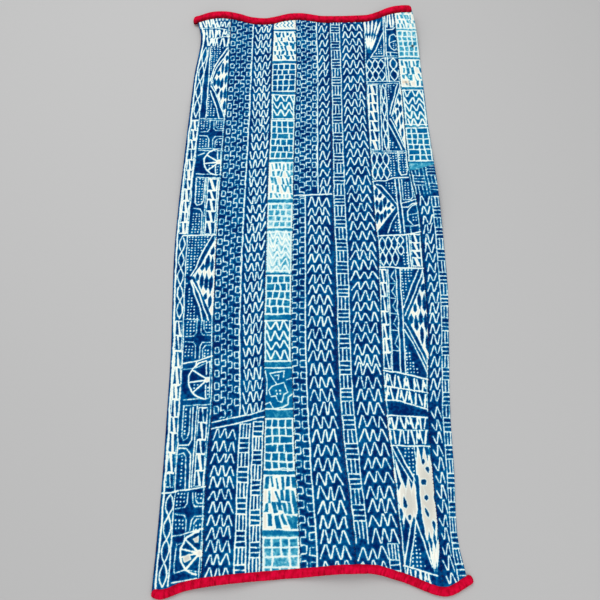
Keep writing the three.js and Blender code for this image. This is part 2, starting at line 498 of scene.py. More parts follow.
    def dotted(self, corners: Sequence[Point], pitch: float = DOT_PITCH, inset: float = 2.1) -> None:
        """Rows of dots inside a shape whose corners turn one way all round.

        Args:
            corners: the outline.
            pitch: from dot to dot.
            inset: how far the dots stay inside.
        """
        outline = np.array(corners, float)
        after = np.roll(outline, -1, axis=0)
        turn = np.sign(np.sum(outline[:, 0] * after[:, 1] - after[:, 0] * outline[:, 1]))
        low = outline.min(0)
        high = outline.max(0)
        for y in np.arange(high[1] - inset, low[1], -pitch):
            for x in np.arange(low[0] + inset, high[0], pitch):
                depth = min(
                    turn * ((b[0] - a[0]) * (y - a[1]) - (b[1] - a[1]) * (x - a[0])) / math.dist(a, b)
                    for a, b in zip(outline, after)
                )
                if depth > inset * 0.9:
                    self.dot(x + self.rng.normal(0, 0.3), y + self.rng.normal(0, 0.3))

    def set_tone(self, low: float, high: float, tone: float) -> None:
        """Give a stretch of the cloth its depth of dye.

        Args:
            low: where it starts along the cloth.
            high: where it ends.
            tone: from 0, deep indigo, to 1, almost undyed.
        """
        past_low = smooth_step(low - TONE_EDGE, low + TONE_EDGE, self.along)
        past_high = smooth_step(high - TONE_EDGE, high + TONE_EDGE, self.along)
        share = past_low * (1 - past_high)
        self.tone += (tone - self.tone) * share

    def spot(self, x: float, y: float, wide: float, tall: float, strength: float) -> None:
        """A soft-edged mark on the finished cloth.

        Args:
            x: its middle across.
            y: its middle along.
            wide: its half width.
            tall: its half height.
            strength: up to 1 for tan, down to -1 for near black.
        """
        away = np.hypot((self.across - x) / wide, (self.along - y) / tall)
        self.stain += strength * (1 - smooth_step(0.35, 1.1, away))

    # Repeats

    def zigzags(self, left: float, right: float, low: float, high: float, peaks: float,
                pitch: float, starts_low: bool = True, first: float = 1.0, half: float = LINE,
                slant: float = 0.0) -> None:
        """Rows of zigzag, one above the other, with rounded tips and here and there a gap.

        Args:
            left: where each row starts.
            right: where it ends.
            low: the lowest row's place along the cloth.
            high: the highest row's.
            peaks: upper tips in a row, with a half for a row that ends the other way.
            pitch: from row to row.
            starts_low: whether a row starts at a lower tip.
            first: the first tip's height as a share of the others'.
            half: half the line's width.
            slant: how the rows climb across the cloth.
        """
        count = round(2 * peaks) + 1
        y = high - pitch / 2
        while y > low:
            tips = []
            lift = max(LIFT_SHARE * pitch, LEAST_LIFT) * self.rng.uniform(0.9, 1.1)
            for i, x in enumerate(np.linspace(left, right, count)):
                height = lift if (i % 2 == 1) == starts_low else -lift
                if i == 0:
                    height *= first
                height += slant * (x - (left + right) / 2)
                tips.append((x + self.rng.normal(0, 0.9), y + height + self.rng.normal(0, 1.0)))
            run = [tips[0]]
            for i, (x, tip) in enumerate(tips[1:-1], 1):
                ease = TIP_EASE if (i % 2 == 0) == starts_low else -TIP_EASE
                run += [(x - TIP_EASE, tip + ease), (x + TIP_EASE, tip + ease)]
                if self.rng.random() < GAP_CHANCE:
                    self.stroke(run[:-1], half, hand=0.25)
                    run = [(x + GAP_LENGTH, tip + ease)]
            self.stroke(run + [tips[-1]], half, hand=0.25)
            y -= pitch * self.rng.uniform(0.95, 1.05)

    def meander(self, left: float, right: float, low: float, high: float, pitch: float,
                half: float = FINE) -> None:
        """One line that winds from side to side along the cloth, with eased corners.

        Args:
            left: its left reach.
            right: its right reach.
            low: where it ends.
            high: where it starts.
            pitch: length of one whole turn.
            half: half the line's width.
        """
        points = []
        y = high
        while y > low:
            drop = pitch / 2 * self.rng.uniform(0.92, 1.08)
            points += [*eased_turn(left, right, y, y - drop), (left, y - drop - EASE)]
            y -= 2 * drop
        self.stroke(points, half, hand=0.4)

    def boxes(self, left: float, right: float, low: float, high: float, pitch: float,
              half: float = FINE) -> None:
        """A column of small open squares with eased corners.

        Args:
            left: their left side.
            right: their right side.
            low: where the column ends.
            high: where it starts.
            pitch: from square to square.
            half: half the line's width.
        """
        y = high
        while y - pitch * BOX_SHARES[1] > low:
            tall = pitch * self.rng.uniform(*BOX_SHARES)
            corners = [*eased_turn(left, right, y, y - tall), (left, y - tall + EASE), (left, y - EASE)]
            self.stroke(corners, half, hand=0.4)
            y -= pitch * self.rng.uniform(0.96, 1.04)

    def basket(self, left: float, right: float, low: float, high: float, block: float,
               upright: bool = True, half: float = FINE) -> None:
        """Blocks of bars that lie and stand by turns between two side lines, as in basketry.

        Args:
            left: the left side line.
            right: the right side line.
            low: where the column ends.
            high: where it starts.
            block: height of one block.
            upright: whether the first block's bars stand.
            half: half the line's width.
        """
        self.line((left, high), (left, low), half=half)
        self.line((right, high), (right, low), half=half)
        y = high
        while y - block * LAST_BLOCK_SHARE > low:
            tall = block * self.rng.uniform(0.94, 1.06)
            self.stroke([(left, y), (right, y)], half)
            for share in (1 / 3, 2 / 3):
                if upright:
                    x = left + (right - left) * share
                    self.stroke([(x, y), (x, y - tall)], half)
                else:
                    self.stroke([(left, y - tall * share), (right, y - tall * share)], half)
            upright = not upright
            y -= tall

    def lattice(self, left: float, right: float, low: float, high: float, pitch: float,
                half: float = LINE) -> None:
        """Two waving lines that cross into a chain of leaves.

        Args:
            left: the left tips.
            right: the right tips.
            low: where the chain ends.
            high: where it starts.
            pitch: length of one leaf.
            half: half the line's width.
        """
        count = max(2, round((high - low) / pitch))
        middle = (left + right) / 2
        turns = np.linspace(0, math.pi * count, POINTS_PER_LEAF * count + 1)
        ys = np.linspace(high, low, POINTS_PER_LEAF * count + 1)
        for swing in (middle - left, left - middle):
            wave = [(middle + swing * math.sin(turn), y) for turn, y in zip(turns, ys)]
            self.stroke(wave, half, hand=0.35)

    def triangles(self, left: float, right: float, low: float, high: float, pitch: float) -> None:
        """An undyed column with two dyed triangles to a row, one that points up and one down.

        Args:
            left: the left side.
            right: the right side.
            low: where the column ends.
            high: where it starts.
            pitch: from row to row.
        """
        wide = right - left
        self.shape([(left, low), (right, low), (right, high), (left, high)], hand=0.3)
        rows = np.linspace(high - 1, low, max(2, round((high - low) / pitch)) + 1)
        rows[1:-1] += self.rng.normal(0, pitch * 0.07, len(rows) - 2)
        base_gap = 1.6
        tip_gap = 1.2
        for y, foot in zip(rows[:-1], rows[1:]):
            for side, inward, base, tip in (
                (left, wide, foot + base_gap, y - tip_gap),
                (right, -wide, y - base_gap, foot + tip_gap),
            ):
                reach = self.rng.uniform(0.44, 0.56)
                lean = self.rng.uniform(0.2, 0.34)
                self.shape([(side + inward * 0.07, base), (side + inward * reach, base),
                            (side + inward * lean, tip), (side + inward * 0.12, tip)], True, 0.6)

    def teeth(self, left: float, right: float, low: float, high: float, pitch: float,
              slope: float = 0.0) -> None:
        """A row of upright undyed teeth that lean by turns.

        Args:
            left: where the row starts.
            right: where it ends.
            low: the teeth's foot.
            high: their head.
            pitch: from tooth to tooth.
            slope: how the row climbs across the cloth.
        """
        x = left + pitch / 2
        lean = 1
        fat_chance = 0.5
        while x < right:
            rise = slope * (x - left)
            top = (x + lean * pitch * 0.22, high + rise)
            foot = (x - lean * pitch * 0.22, low + rise)
            self.stroke([top, foot], self.rng.uniform(0.9, 1.6), hand=0.8)
            if self.rng.random() < fat_chance:
                self.spindle((x, high + rise), (x + lean * pitch * 0.4, low + rise + 6), pitch * 0.42)
            lean = -lean
            x += pitch * self.rng.uniform(0.85, 1.15)

    def leaves(self, apex: Point, reach: float, rise: float, fall: float, pitch: float = 8.0,
               length: float = 33.0) -> None:
        """An undyed arrowhead field with columns of long dyed leaves.

        Args:
            apex: the arrowhead's point.
            reach: how far across it opens, negative to the left.
            rise: how far its upper side climbs over that.
            fall: how far its lower side drops.
            pitch: from column to column.
            length: the leaves' length.
        """
        side = apex[0] + reach
        self.shape([apex, (side, apex[1] + rise), (side, apex[1] - fall)], hand=0)
        rim = 3.0
        gap = 0.8
        least = length * 0.3
        start = pitch * 0.7
        tall = length
        while start < abs(reach):
            share = start / abs(reach)
            x = apex[0] + math.copysign(start, reach)
            y = apex[1] + rise * share - rim
            low = apex[1] - fall * share + rim
            next_tall = tall
            while y - least > low:
                foot = max(y - next_tall * self.rng.uniform(0.85, 1.15), low)
                lean = self.rng.normal(0.8, 0.8)
                width = pitch * self.rng.uniform(0.78, 1.0)
                self.spindle((x + lean, y), (x - lean, foot), width, carve=True)
                y = foot - gap
                next_tall = length
            # Every second column starts with a leaf of about half the length, so that the rows stagger.
            tall = length * 1.55 - tall
            start += pitch

    def ray(self, a: Point, b: Point, width: float, length: float = 38.0) -> None:
        """A row of long lozenges, end to end.

        Args:
            a: where it starts.
            b: where it ends.
            width: the lozenges' width.
            length: the longest that one may be.
        """
        count = max(1, round(math.dist(a, b) / length))
        start = np.array(a, float)
        step = np.subtract(b, a) / count
        for i in range(count):
            fat = width * self.rng.uniform(0.85, 1.2)
            self.spindle(tuple(start + step * i), tuple(start + step * (i + 1)), fat)

    def fan(self, apex: Point, first: Point, last: Point, count: int, width: float) -> None:
        """Rows of lozenges that spread from one point.

        Args:
            apex: where they meet.
            first: the outer end of the first row.
            last: the outer end of the last row.
            count: how many rows.
            width: the lozenges' width.
        """
        heart = 0.22
        for share in np.linspace(0, 1, count):
            outer = (first[0] + (last[0] - first[0]) * share, first[1] + (last[1] - first[1]) * share)
            inner = (apex[0] + (outer[0] - apex[0]) * heart, apex[1] + (outer[1] - apex[1]) * heart)
            self.ray(inner, outer, width)

    def quarters(self, left: float, right: float, low: float, high: float) -> None:
        """Four dotted fields with round inner corners, around a plain dyed cross.

        Args:
            left: the left side.
            right: the right side.
            low: the lower side.
            high: the upper side.
        """
        wide = right - left
        middle = (low + high) / 2
        inner = left + wide * 0.40
        outer = left + wide * 0.57
        for way, end, tilt in ((1, high, 2.0), (-1, low, -1.0)):
            self.stroke([(inner, end), (inner, middle + way * 13), (inner - 4, middle + way * 6),
                         (left, middle + way * 4.5)], FINE)
            self.dotted([(left, end), (inner - 1, end), (inner - 1, middle + way * 10),
                         (left, middle + way * 6)])
            for gap in (0.0, wide * 0.11):
                self.stroke([(outer + gap, end), (outer + gap, middle + way * (14 + gap)),
                             (outer + gap + 4, middle + way * (6 + gap) + tilt),
                             (right, middle + way * (4.5 + gap) + 2 * tilt)], FINE)
            self.dotted([(outer + gap + 1, end), (right, end), (right, middle + way * 13),
                         (outer + gap + 1, middle + way * 14)], inset=2.8)

    def wheel(self, hub: Point, radius: float, spokes: Sequence[float], dotted_between: Span) -> None:
        """Half a wheel that opens to the left of its hub.

        Args:
            hub: its middle.
            radius: its rim.
            spokes: their angles in degrees, 180 to the left.
            dotted_between: the angles of the sector with dots.
        """
        def at(angle: float, reach: float) -> Point:
            """A point at an angle and a distance from the hub."""
            turn = math.radians(angle)
            return hub[0] + reach * math.cos(turn), hub[1] + reach * 1.05 * math.sin(turn)

        self.stroke([at(angle, radius) for angle in range(96, 268, 12)], BOLD)
        for angle in spokes:
            self.stroke([hub, at(angle, radius)], BOLD)
        self.shape([at(angle, 5.5) for angle in range(0, 360, 60)])
        first, last = dotted_between
        self.dotted([at(first, 9), at(first, radius - 3), at((first + last) / 2, radius - 2),
                     at(last, radius - 3), at(last, 9)], inset=2.4)
        self.line((hub[0] + 3, hub[1] + radius), (hub[0] + 5, hub[1] - radius), half=FINE)

    def grid(self, left: float, right: float, low: float, high: float, across: int,
             half: float = NET) -> None:
        """A net of lines with near-square cells.

        Args:
            left: the left side.
            right: the right side.
            low: the lower side.
            high: the upper side.
            across: cells from side to side.
            half: half the line's width.
        """
        cell = (right - left) / across
        squatness = 0.8
        keep_chance = 0.94
        down = max(2, round((high - low) / cell * squatness))
        rows = np.linspace(high, low, down + 1)
        self.line((left, high), (left, low), half=half)
        self.line((right, high), (right, low), half=half)
        for y in rows:
            self.line((left, y), (right, y + self.rng.normal(0, 1.2)), half=half * 0.92, step=9)
        for upper, lower in zip(rows[:-1], rows[1:]):
            shift = self.rng.normal(0, 1.8)
            for x in np.linspace(left, right, across + 1)[1:-1]:
                if self.rng.random() < keep_chance:
                    self.stroke([(x + shift, upper), (x + shift, lower)], half, hand=0.8)

    def flecks(self, left: float, right: float, low: float, high: float, height: float) -> None:
        """An undyed field with rows of dyed flecks.

        Args:
            left: the left side.
            right: the right side.
            low: the lower side.
            high: the upper side.
            height: how tall a fleck is.
        """
        self.shape([(left, low), (right, low), (right, high), (left, high)], hand=0)
        y = high - 2
        shift = 0.0
        stagger = 4.5
        least = 7.0
        keep_chance = 0.97
        while y - least > low:
            tall = height * self.rng.uniform(0.8, 1.15)
            x = left + 2.5 + shift
            while x < right - 3:
                if self.rng.random() < keep_chance:
                    wide = self.rng.uniform(4.2, 7.2)
                    lean = self.rng.normal(1.5, 2.0)
                    top = y + self.rng.normal(0, 1.2)
                    foot = max(top - tall * self.rng.uniform(0.68, 0.94), low + 1)
                    corners = [(x, top), (x + wide, top), (x + wide + lean, foot), (x + lean, foot)]
                    self.shape(corners, carve=True, hand=0.7)
                x += self.rng.uniform(7.6, 9.4)
            shift = stagger - shift
            y -= tall * 0.86

    def star(self, left: float, high: float) -> None:
        """A stepped star with a hooked line above it and a stepped line below.

        Args:
            left: the strip's left side.
            high: the section's far side.
        """
        for run in (
            ((9, -11), (37, -6), (35, -17)),
            ((9, -11), (14, -19), (24, -31), (36, -27), (43, -44), (35, -49), (32, -62), (23, -61),
             (20, -52), (11, -53), (8, -42), (12, -34), (24, -31)),
            ((17, -14), (28, -13), (26, -22)),
            ((2, -66), (10, -63), (16, -75), (33, -73), (43, -67), (43, -54), (51, -49)),
            ((3, -50), (4, -24), (2, -6)),
            ((40, -22), (51, -19)),
        ):
            self.stroke([(left + x, high + y) for x, y in run], FINE, hand=0.6)
        middle = ((15, -36), (35, -34), (35, -46), (23, -54), (14, -48))
        self.dotted([(left + x, high + y) for x, y in middle])


# Charts: the repeats that each panel carries, set out one by one
# Places are millimetres on the cloth laid flat, in the order of each repeat's own arguments.


class Fill(Enum):
    """What fills one section of a pale strip."""

    GRID = "grid"
    ZIGZAG = "zigzag"
    FLECKS = "flecks"
    STAR = "star"
    SQUIGGLES = "squiggles"


@dataclass(frozen=True)
class Section:
    """One stretch of a pale strip: its place, what fills it, its depth of dye and its rows' height."""

    high: float
    low: float
    fill: Fill
    tone: float
    row: float = 19.5


PALE_SECTIONS = (
    Section(600, 560, Fill.SQUIGGLES, 0.34),
    Section(552, 467, Fill.FLECKS, 0.30, 15),
    Section(457, 380, Fill.GRID, 0.13),
    Section(370, 306, Fill.ZIGZAG, 0.34),
    Section(302, 204, Fill.GRID, 0.38),
    Section(194, 107, Fill.FLECKS, 0.58, 20),
    Section(95, 40, Fill.GRID, 0.66),
    Section(30, -55, Fill.ZIGZAG, 0.78, 14.5),
    Section(-65, -145, Fill.GRID, 0.42),
    Section(-158, -237, Fill.ZIGZAG, 0.36),
    Section(-250, -325, Fill.STAR, 0.34),
    Section(-343, -431, Fill.GRID, 0.34),
    Section(-440, -527, Fill.FLECKS, 0.38, 23),
    Section(-539, -600, Fill.GRID, 0.62),
)
EDGE_SECTIONS = (
    Section(632, 562, Fill.FLECKS, 0.60, 17),
    Section(554, 478, Fill.GRID, 0.60),
    Section(469, 394, Fill.FLECKS, 0.46, 21),
    Section(384, 292, Fill.ZIGZAG, 0.30),
    Section(282, 198, Fill.GRID, 0.34),
)


def paint_sections(p: ResistPainter, sections: Sequence[Section], left: float, right: float) -> None:
    """Fill a pale strip section by section, each between two lines across.

    Args:
        p: the strip's painter.
        sections: from the far end to the near end.
        left: the strip's left side.
        right: its right side.
    """
    for section in sections:
        low = section.low
        high = section.high
        p.set_tone(low - 4, high + 4, section.tone)
        if section.fill is Fill.GRID:
            p.grid(left + 2, right - 2, low + 1, high - 1, 4)
        elif section.fill is Fill.ZIGZAG:
            p.line((left + 3, high), (left + 3, low))
            p.line((right - 3, high), (right - 3, low))
            p.zigzags(left + 5, right - 5, low, high, 2.5, section.row, starts_low=False, half=STRONG)
        elif section.fill is Fill.FLECKS:
            p.flecks(left + 1, right - 1, low, high, section.row)
        elif section.fill is Fill.STAR:
            p.star(left, high)
        elif section.fill is Fill.SQUIGGLES:
            p.shape([(left, low), (right, low), (right, high), (left, high)])
            for x in np.arange(left + 7, right - 4, 9):
                ys = np.arange(high - 4, low + 4, -6)
                p.stroke([(x + (2.6 if i % 2 else -2.6), y) for i, y in enumerate(ys)], 1.5, carve=True)
        p.line((left + 1, high), (right - 1, high))
        p.line((left + 1, low), (right - 1, low))


def paint_left(p: ResistPainter) -> None:
    """The left motif panel: a narrow chain border and a column of large motifs.

    Args:
        p: a painter in chart places.
    """
    # The border and the far corner's teeth, measured from the outer edge.
    border = p.beside(p.across[:, :1])
    border.line((6, 590), (5, 250), (4.5, 0), (5.5, -618), half=BOLD)
    border.line((21, 505), (24, 0), (21, -330), (25, -612))
    border.lattice(8.5, 20, 310, 504, 44)
    border.triangles(7, 21.5, 26, 303, 26)
    border.lattice(9, 20, -154, 20, 35)
    border.triangles(7, 20.5, -460, -158, 29)
    border.lattice(9.5, 22, -614, -470, 38)
    border.teeth(4, 36, 510, 532, 7)
    border.teeth(4, 36, 534, 557, 7)
    border.teeth(2, 44, 566, 602, 6)
    far_seam = p.beside(p.across[:, -1:])
    far_seam.line((-3.5, 590), (-3, -608), half=FINE)

    # Zigzag and teeth under the far binding.
    p.zigzags(-212, -177, 562, 606, 4, 22)
    p.line((-246, 562), (-212, 563), (-175, 556))
    p.teeth(-212, -175, 536, 556, 8)
    p.line((-222, 529), (-175, 539))
    p.teeth(-218, -175, 509, 531, 8)

    # An arrowhead of leaves between dotted fields.
    p.line((-219, 508), (-219.5, 307))
    p.dotted([(-218, 507), (-187, 507), (-214, 432), (-218, 432)])
    p.leaves((-211, 404), 33, 92, 88)
    p.line((-182, 503), (-197, 473), (-206, 454), (-212, 430), (-216, 409), half=STRONG)
    p.line((-176, 500), (-188, 473), (-201, 452), (-208, 429), (-214, 399), half=STRONG)
    p.line((-213, 396), (-203, 378), (-192, 348), (-181, 311), half=STRONG)
    p.line((-214.5, 382), (-206, 358), (-199, 339), (-191, 307), half=STRONG)
    p.dotted([(-218, 372), (-213, 372), (-194, 309), (-218, 309)])

    # A quartered field and half a wheel.
    p.double((-230, 307), (-178, 306), 4.5)
    p.quarters(-230, -180, 233, 301)
    p.double((-231, 229), (-178, 228), 4.5)
    p.line((-230, 212), (-217, 217), half=FINE)
    p.wheel((-186, 196), 31, (148, 187, 222), (186, 222))
    p.line((-190, 225), (-189, 203))
    p.line((-193, 190), (-192, 166))
    p.dotted([(-190, 186), (-178, 186), (-178, 168), (-190, 168)], inset=2.6)
    p.double((-231, 166), (-179, 164), 8)

    # Two rounded dotted fields beside a column of triangles.
    p.stroke([(-231, 156), (-231, 98), (-226, 92), (-217, 94), (-213.5, 102), (-213, 155)], LINE)
    p.dotted([(-231, 156), (-231, 95), (-214, 95), (-214, 156)])
    p.stroke([(-231, 84), (-220, 83), (-214, 76), (-213, 26)], LINE)
    p.dotted([(-233, 80), (-233, 26), (-214, 26), (-214, 78)])
    p.line((-209.5, 155), (-209.5, 26), half=FINE)
    p.triangles(-207, -186, 25, 155, 26)
    p.line((-183.5, 156), (-183, 24))
    p.line((-248, 22), (-182, 24), half=BOLD)

    # The second arrowhead.
    p.dotted([(-237, 21), (-193, 21), (-229, -62), (-237, -62)])
    p.leaves((-221, -67), 40, 84, 86, 9.0, 38)
    p.line((-191, 22), (-209, -18), (-218, -47), (-227, -66), half=STRONG)
    p.line((-179, 24), (-192, -6), (-209, -42), (-222, -66), half=STRONG)
    p.line((-225, -74), (-209, -103), (-198, -132), (-188, -158), half=STRONG)
    p.line((-227, -76), (-217, -103), (-206, -132), (-200, -158), half=STRONG)
    p.dotted([(-236, -80), (-230, -80), (-203, -156), (-233, -156)])
    p.line((-232, -156), (-206, -156), half=FINE)

    # The second quartered field and half wheel.
    p.quarters(-229, -180, -231, -158)
    p.line((-229, -241), (-205, -237), (-178, -227))
    p.line((-229, -253), (-207, -250), (-178, -236), half=FINE)
    p.line((-206, -237), (-206, -250))
    p.wheel((-184, -272), 34, (148, 188, 222), (188, 222))
    p.line((-187, -238), (-186, -262))
    p.line((-186, -282), (-185, -308))
    p.dotted([(-184, -284), (-173, -284), (-173, -304), (-184, -304)], inset=2.6)
    p.double((-224, -309), (-173, -306), 11)

    # The second rounded fields and triangles.
    p.stroke([(-223, -322), (-223, -372), (-219, -380), (-213, -376), (-211, -366), (-211, -324)], FINE)
    p.stroke([(-205, -322), (-205, -380), (-210, -388), (-226, -389)], LINE)
    p.stroke([(-226, -394), (-214, -395), (-205, -405), (-204, -461)], LINE)
    p.stroke([(-225, -405), (-217, -402), (-213, -410), (-212, -462)], FINE)
    p.dotted([(-222, -324), (-222, -377), (-211, -377), (-211, -324)], 6, 3.4)
    p.dotted([(-223, -404), (-223, -462), (-212, -462), (-212, -404)], 6, 3.4)
    p.line((-199.5, -321), (-201, -460))
    p.triangles(-197, -180, -458, -322, 25)
    p.line((-248, -470), (-177, -458), half=BOLD)

    # The third quartered field, and a half wheel with two worn gaps.
    p.quarters(-225, -177, -529, -468)
    p.line((-227, -538), (-176, -525))
    p.line((-207, -534), (-207, -548), half=FINE)
    p.wheel((-181, -563), 31, (142, 168, 192, 228), (196, 226))
    p.shape([(-193, -541), (-184, -536), (-183, -547), (-189, -547)])
    p.shape([(-208, -568), (-197, -564), (-194, -572), (-204, -578)])
    p.spot(-189, -543, 9, 9, -0.2)
    p.spot(-201, -571, 9, 9, -0.2)
    p.line((-219, -548), (-220, -593), (-204, -588), (-176, -592), half=FINE)
    p.line((-218, -550), (-206, -547), half=FINE)
    p.line((-224, -608), (-182, -601))


def paint_meander(p: ResistPainter) -> None:
    """The meander and zigzag panel, with zigzag and basket columns below a slanted line.

    Args:
        p: a painter in straightened places.
    """
    p.boxes(-174, -166, -345, 590, 22.3)
    p.meander(-161.5, -153.5, -345, 592, 22.2)
    p.meander(-148.5, -141.5, -341, 588, 22.2)
    p.boxes(-136.5, -128, -338, 588, 21.8)
    p.line((-126.5, 596), (-126.5, -338))
    p.zigzags(-120, -84, -328, 590, 3, 21.5, starts_low=False, slant=0.18)
    p.shape([(-177, -350), (-79, -326), (-79, -362), (-177, -364)], carve=True, hand=0)
    p.double((-177, -350), (-79, -328), 11, LINE)
    p.zigzags(-171, -131, -610, -360, 3, 20)
    p.basket(-124, -106, -608, -352, 25, half=BAR)
    p.basket(-100, -83, -608, -348, 25, upright=False, half=BAR)


def paint_pale(p: ResistPainter) -> None:
    """The pale strip, in sections.

    Args:
        p: a painter in straightened places.
    """
    paint_sections(p, PALE_SECTIONS, -80, -28)


def paint_ladder(p: ResistPainter) -> None:
    """The panel with meanders far and a ladder of squares near, both beside zigzags.

    Args:
        p: a painter in straightened places.
    """
    p.boxes(-25.5, -18.5, 122, 592, 22.5)
    p.meander(-15, -6, 122, 594, 22.5)
    p.meander(-2.5, 6, 122, 590, 22.5)
    p.boxes(10, 18, 119, 592, 22)
    p.line((20.5, 600), (20.5, 120))
    p.zigzags(25.5, 46, 124, 592, 1.5, 21.5)
    p.line((-28, 114), (49, 118), half=BOLD)
    p.meander(-27, -18.4, -592, 106, 23)
    p.boxes(-13.8, -4, -592, 108, 23)
    p.line((-4, 114), (-4, -596))
    p.zigzags(1.5, 43, -240, 110, 3, 22)
    p.zigzags(1.5, 43, -598, -240, 3, 23.6)


def paint_basket(p: ResistPainter) -> None:
    """The basket column and the zigzag column beside it.

    Args:
        p: a painter in straightened places.
    """
    p.basket(53, 73.5, -548, 598, 25.2, half=THIN_BAR)
    p.zigzags(79.5, 125.5, -240, 598, 3, 21.8)
    p.zigzags(79.5, 125.5, -542, -240, 3, 23.6)
    p.zigzags(54, 104, -600, -552, 3, 22)
    p.basket(107, 124, -596, -549, 23, half=THIN_BAR)


def paint_right(p: ResistPainter) -> None:
    """The right motif panel.

    Args:
        p: a painter in chart places.
    """
    # A fine line beside each seam.
    seam = p.beside(p.across[:, :1])
    seam.line((2.5, 600), (2.5, -610), half=FINE)
    far_seam = p.beside(p.across[:, -1:])
    far_seam.line((-2.5, 440), (-2.5, -330), half=FINE)

    # A fan, a looped line and chains of leaves.
    p.fan((138, 474), (132, 590), (170, 584), 5, 4.0)
    p.dotted([(147, 481), (170, 481), (170, 526)])
    p.line((143, 475), (158, 508), (174, 550))
    p.line((176, 600), (173, 480))
    p.line((180, 604), (178, 480))
    p.teeth(182, 204, 566, 608, 6.5)
    p.stroke([(183, 558), (196, 560), (203, 566)])
    p.stroke([(204, 536), (197, 544), (189, 540), (186, 528),
              (186, 512), (190, 502), (196, 497), (204, 500)])
    p.line((186, 518), (205, 527), half=FINE)
    p.dotted([(187, 517), (203, 524), (203, 502), (190, 502)])
    p.line((180, 491), (203, 489))
    p.line((187, 491), (188, 481), half=FINE)
    p.double((146, 479), (203, 481), 6)
    p.lattice(132, 145, 410, 470, 27)
    p.lattice(145, 158, 410, 470, 30)
    p.lattice(158, 172, 410, 470, 27)
    p.line((174, 477), (176, 408))
    p.line((179, 477), (181, 408))
    p.lattice(184, 200, 410, 474, 32)
    p.double((130, 407), (204, 408), 6)

    # Triangles, a long chain and an arrowhead that opens to the right.
    p.triangles(132, 152, 226, 399, 24.6)
    p.line((153.5, 399), (150, 224), half=FINE)
    p.line((160, 399), (156, 224))
    p.lattice(161, 170, 226, 398, 46)
    p.line((172.5, 399), (170, 224))
    p.dotted([(175, 398), (193, 398), (175, 342)])
    p.leaves((182, 310), 24, 86, 80, 7.0, 28)
    p.line((197, 400), (176, 318))
    p.line((204, 400), (181, 314))
    p.line((177, 306), (186, 284), (205, 228))
    p.line((172, 296), (197, 227))
    p.dotted([(171, 270), (171, 225), (192, 225)])
    p.double((130, 223), (207, 223), 4.5)

    # Chains beside dotted fields.
    p.lattice(132, 144, 153, 219, 33)
    p.lattice(144, 156, 153, 219, 33)
    p.lattice(156, 169, 154, 219, 33)
    p.dotted([(170, 219), (187, 219), (184, 158), (170, 156)])
    p.stroke([(188, 221), (188, 172), (193, 164), (203, 166), (205, 174), (206, 221)])
    p.dotted([(189, 221), (189, 167), (205, 167), (205, 221)])
    p.line((130, 148), (158, 150), (174, 157), (207, 158), half=BOLD)

    # An arrowhead that opens to the left, and half a ring.
    p.leaves((176, 86), -42, 56, 58, 8.0, 29)
    p.line((140, 141), (150, 138), (181, 92))
    p.line((157, 28), (164, 48), (180, 76))
    p.dotted([(152, 147), (181, 152), (181, 98)])
    p.dotted([(160, 27), (184, 29), (184, 78)])
    p.line((179, 152), (182, 28))
    p.line((186, 154), (191, 28))
    p.stroke([(192, 152), (192, 104), (208, 105), (212, 112), (212, 153)], FINE)
    p.dotted([(190, 152), (192, 103), (212, 105), (210, 153)])
    p.line((188, 97), (204, 101), (221, 107))
    p.line((190, 87), (202, 88), (210, 96), (222, 98))
    p.stroke([(222, 96), (208, 90), (200, 77), (200, 58), (210, 45), (222, 48)])
    p.line((201, 69), (222, 73), half=FINE)
    p.dotted([(202, 68), (222, 71), (222, 50), (204, 50)])
    p.line((193, 43), (222, 44), half=FINE)
    p.line((204, 44), (204, 28), half=FINE)
    p.line((134, 21), (190, 24), (224, 31), half=BOLD)

    # Short chains beside triangles.
    p.lattice(139, 151, -44, 18, 31)
    p.lattice(151, 163, -44, 20, 31)
    p.lattice(163, 175, -44, 21, 31)
    p.lattice(175, 187, -20, 22, 28)
    p.dotted([(178, -14), (197, -8), (197, -46), (182, -46)])
    p.line((194, 26), (194, -47))
    p.line((199, 26), (199, -47))
    p.triangles(201, 221, -46, 26, 17.5)
    p.line((135, -47), (226, -50), half=BOLD)

    # Triangles, rungs and the largest arrowhead.
    p.triangles(136, 150, -252, -51, 27)
    p.line((153, -50), (151, -256))
    for rung in (-81, -112, -143, -177, -217):
        p.line((152, rung), (166, rung - 1), half=FINE)
        p.stroke([(165, rung + 28), (158, rung + 14), (165, rung + 2)], FINE)
    p.line((168, -50), (166, -258))
    p.line((176.5, -50), (175, -262))
    p.dotted([(178, -51), (206, -51), (178, -126)])
    p.leaves((185, -154), 37, 86, 90, 9.0, 36)
    p.line((212, -51), (198, -84), (178, -132))
    p.line((220, -54), (204, -96), (180, -148))
    p.line((179, -162), (217, -248))
    p.line((177, -176), (194, -206), (214, -262))
    p.dotted([(176, -196), (176, -260), (203, -262)])
    p.line((134, -254), (160, -258), (216, -272), half=BOLD)

    # Four rows of teeth.
    p.teeth(135, 214, -282, -260, 8.5, -0.2)
    p.line((134, -283), (213, -296))
    p.teeth(135, 214, -306, -286, 8.5, -0.2)
    p.line((133, -309), (160, -310), (210, -327))
    p.line((133, -338), (145, -336), (207, -341), half=BOLD)
    p.teeth(135, 206, -360, -341, 8)
    p.line((135, -361), (206, -364), half=FINE)
    p.teeth(135, 206, -386, -364, 8)
    p.line((138, -389), (209, -391))

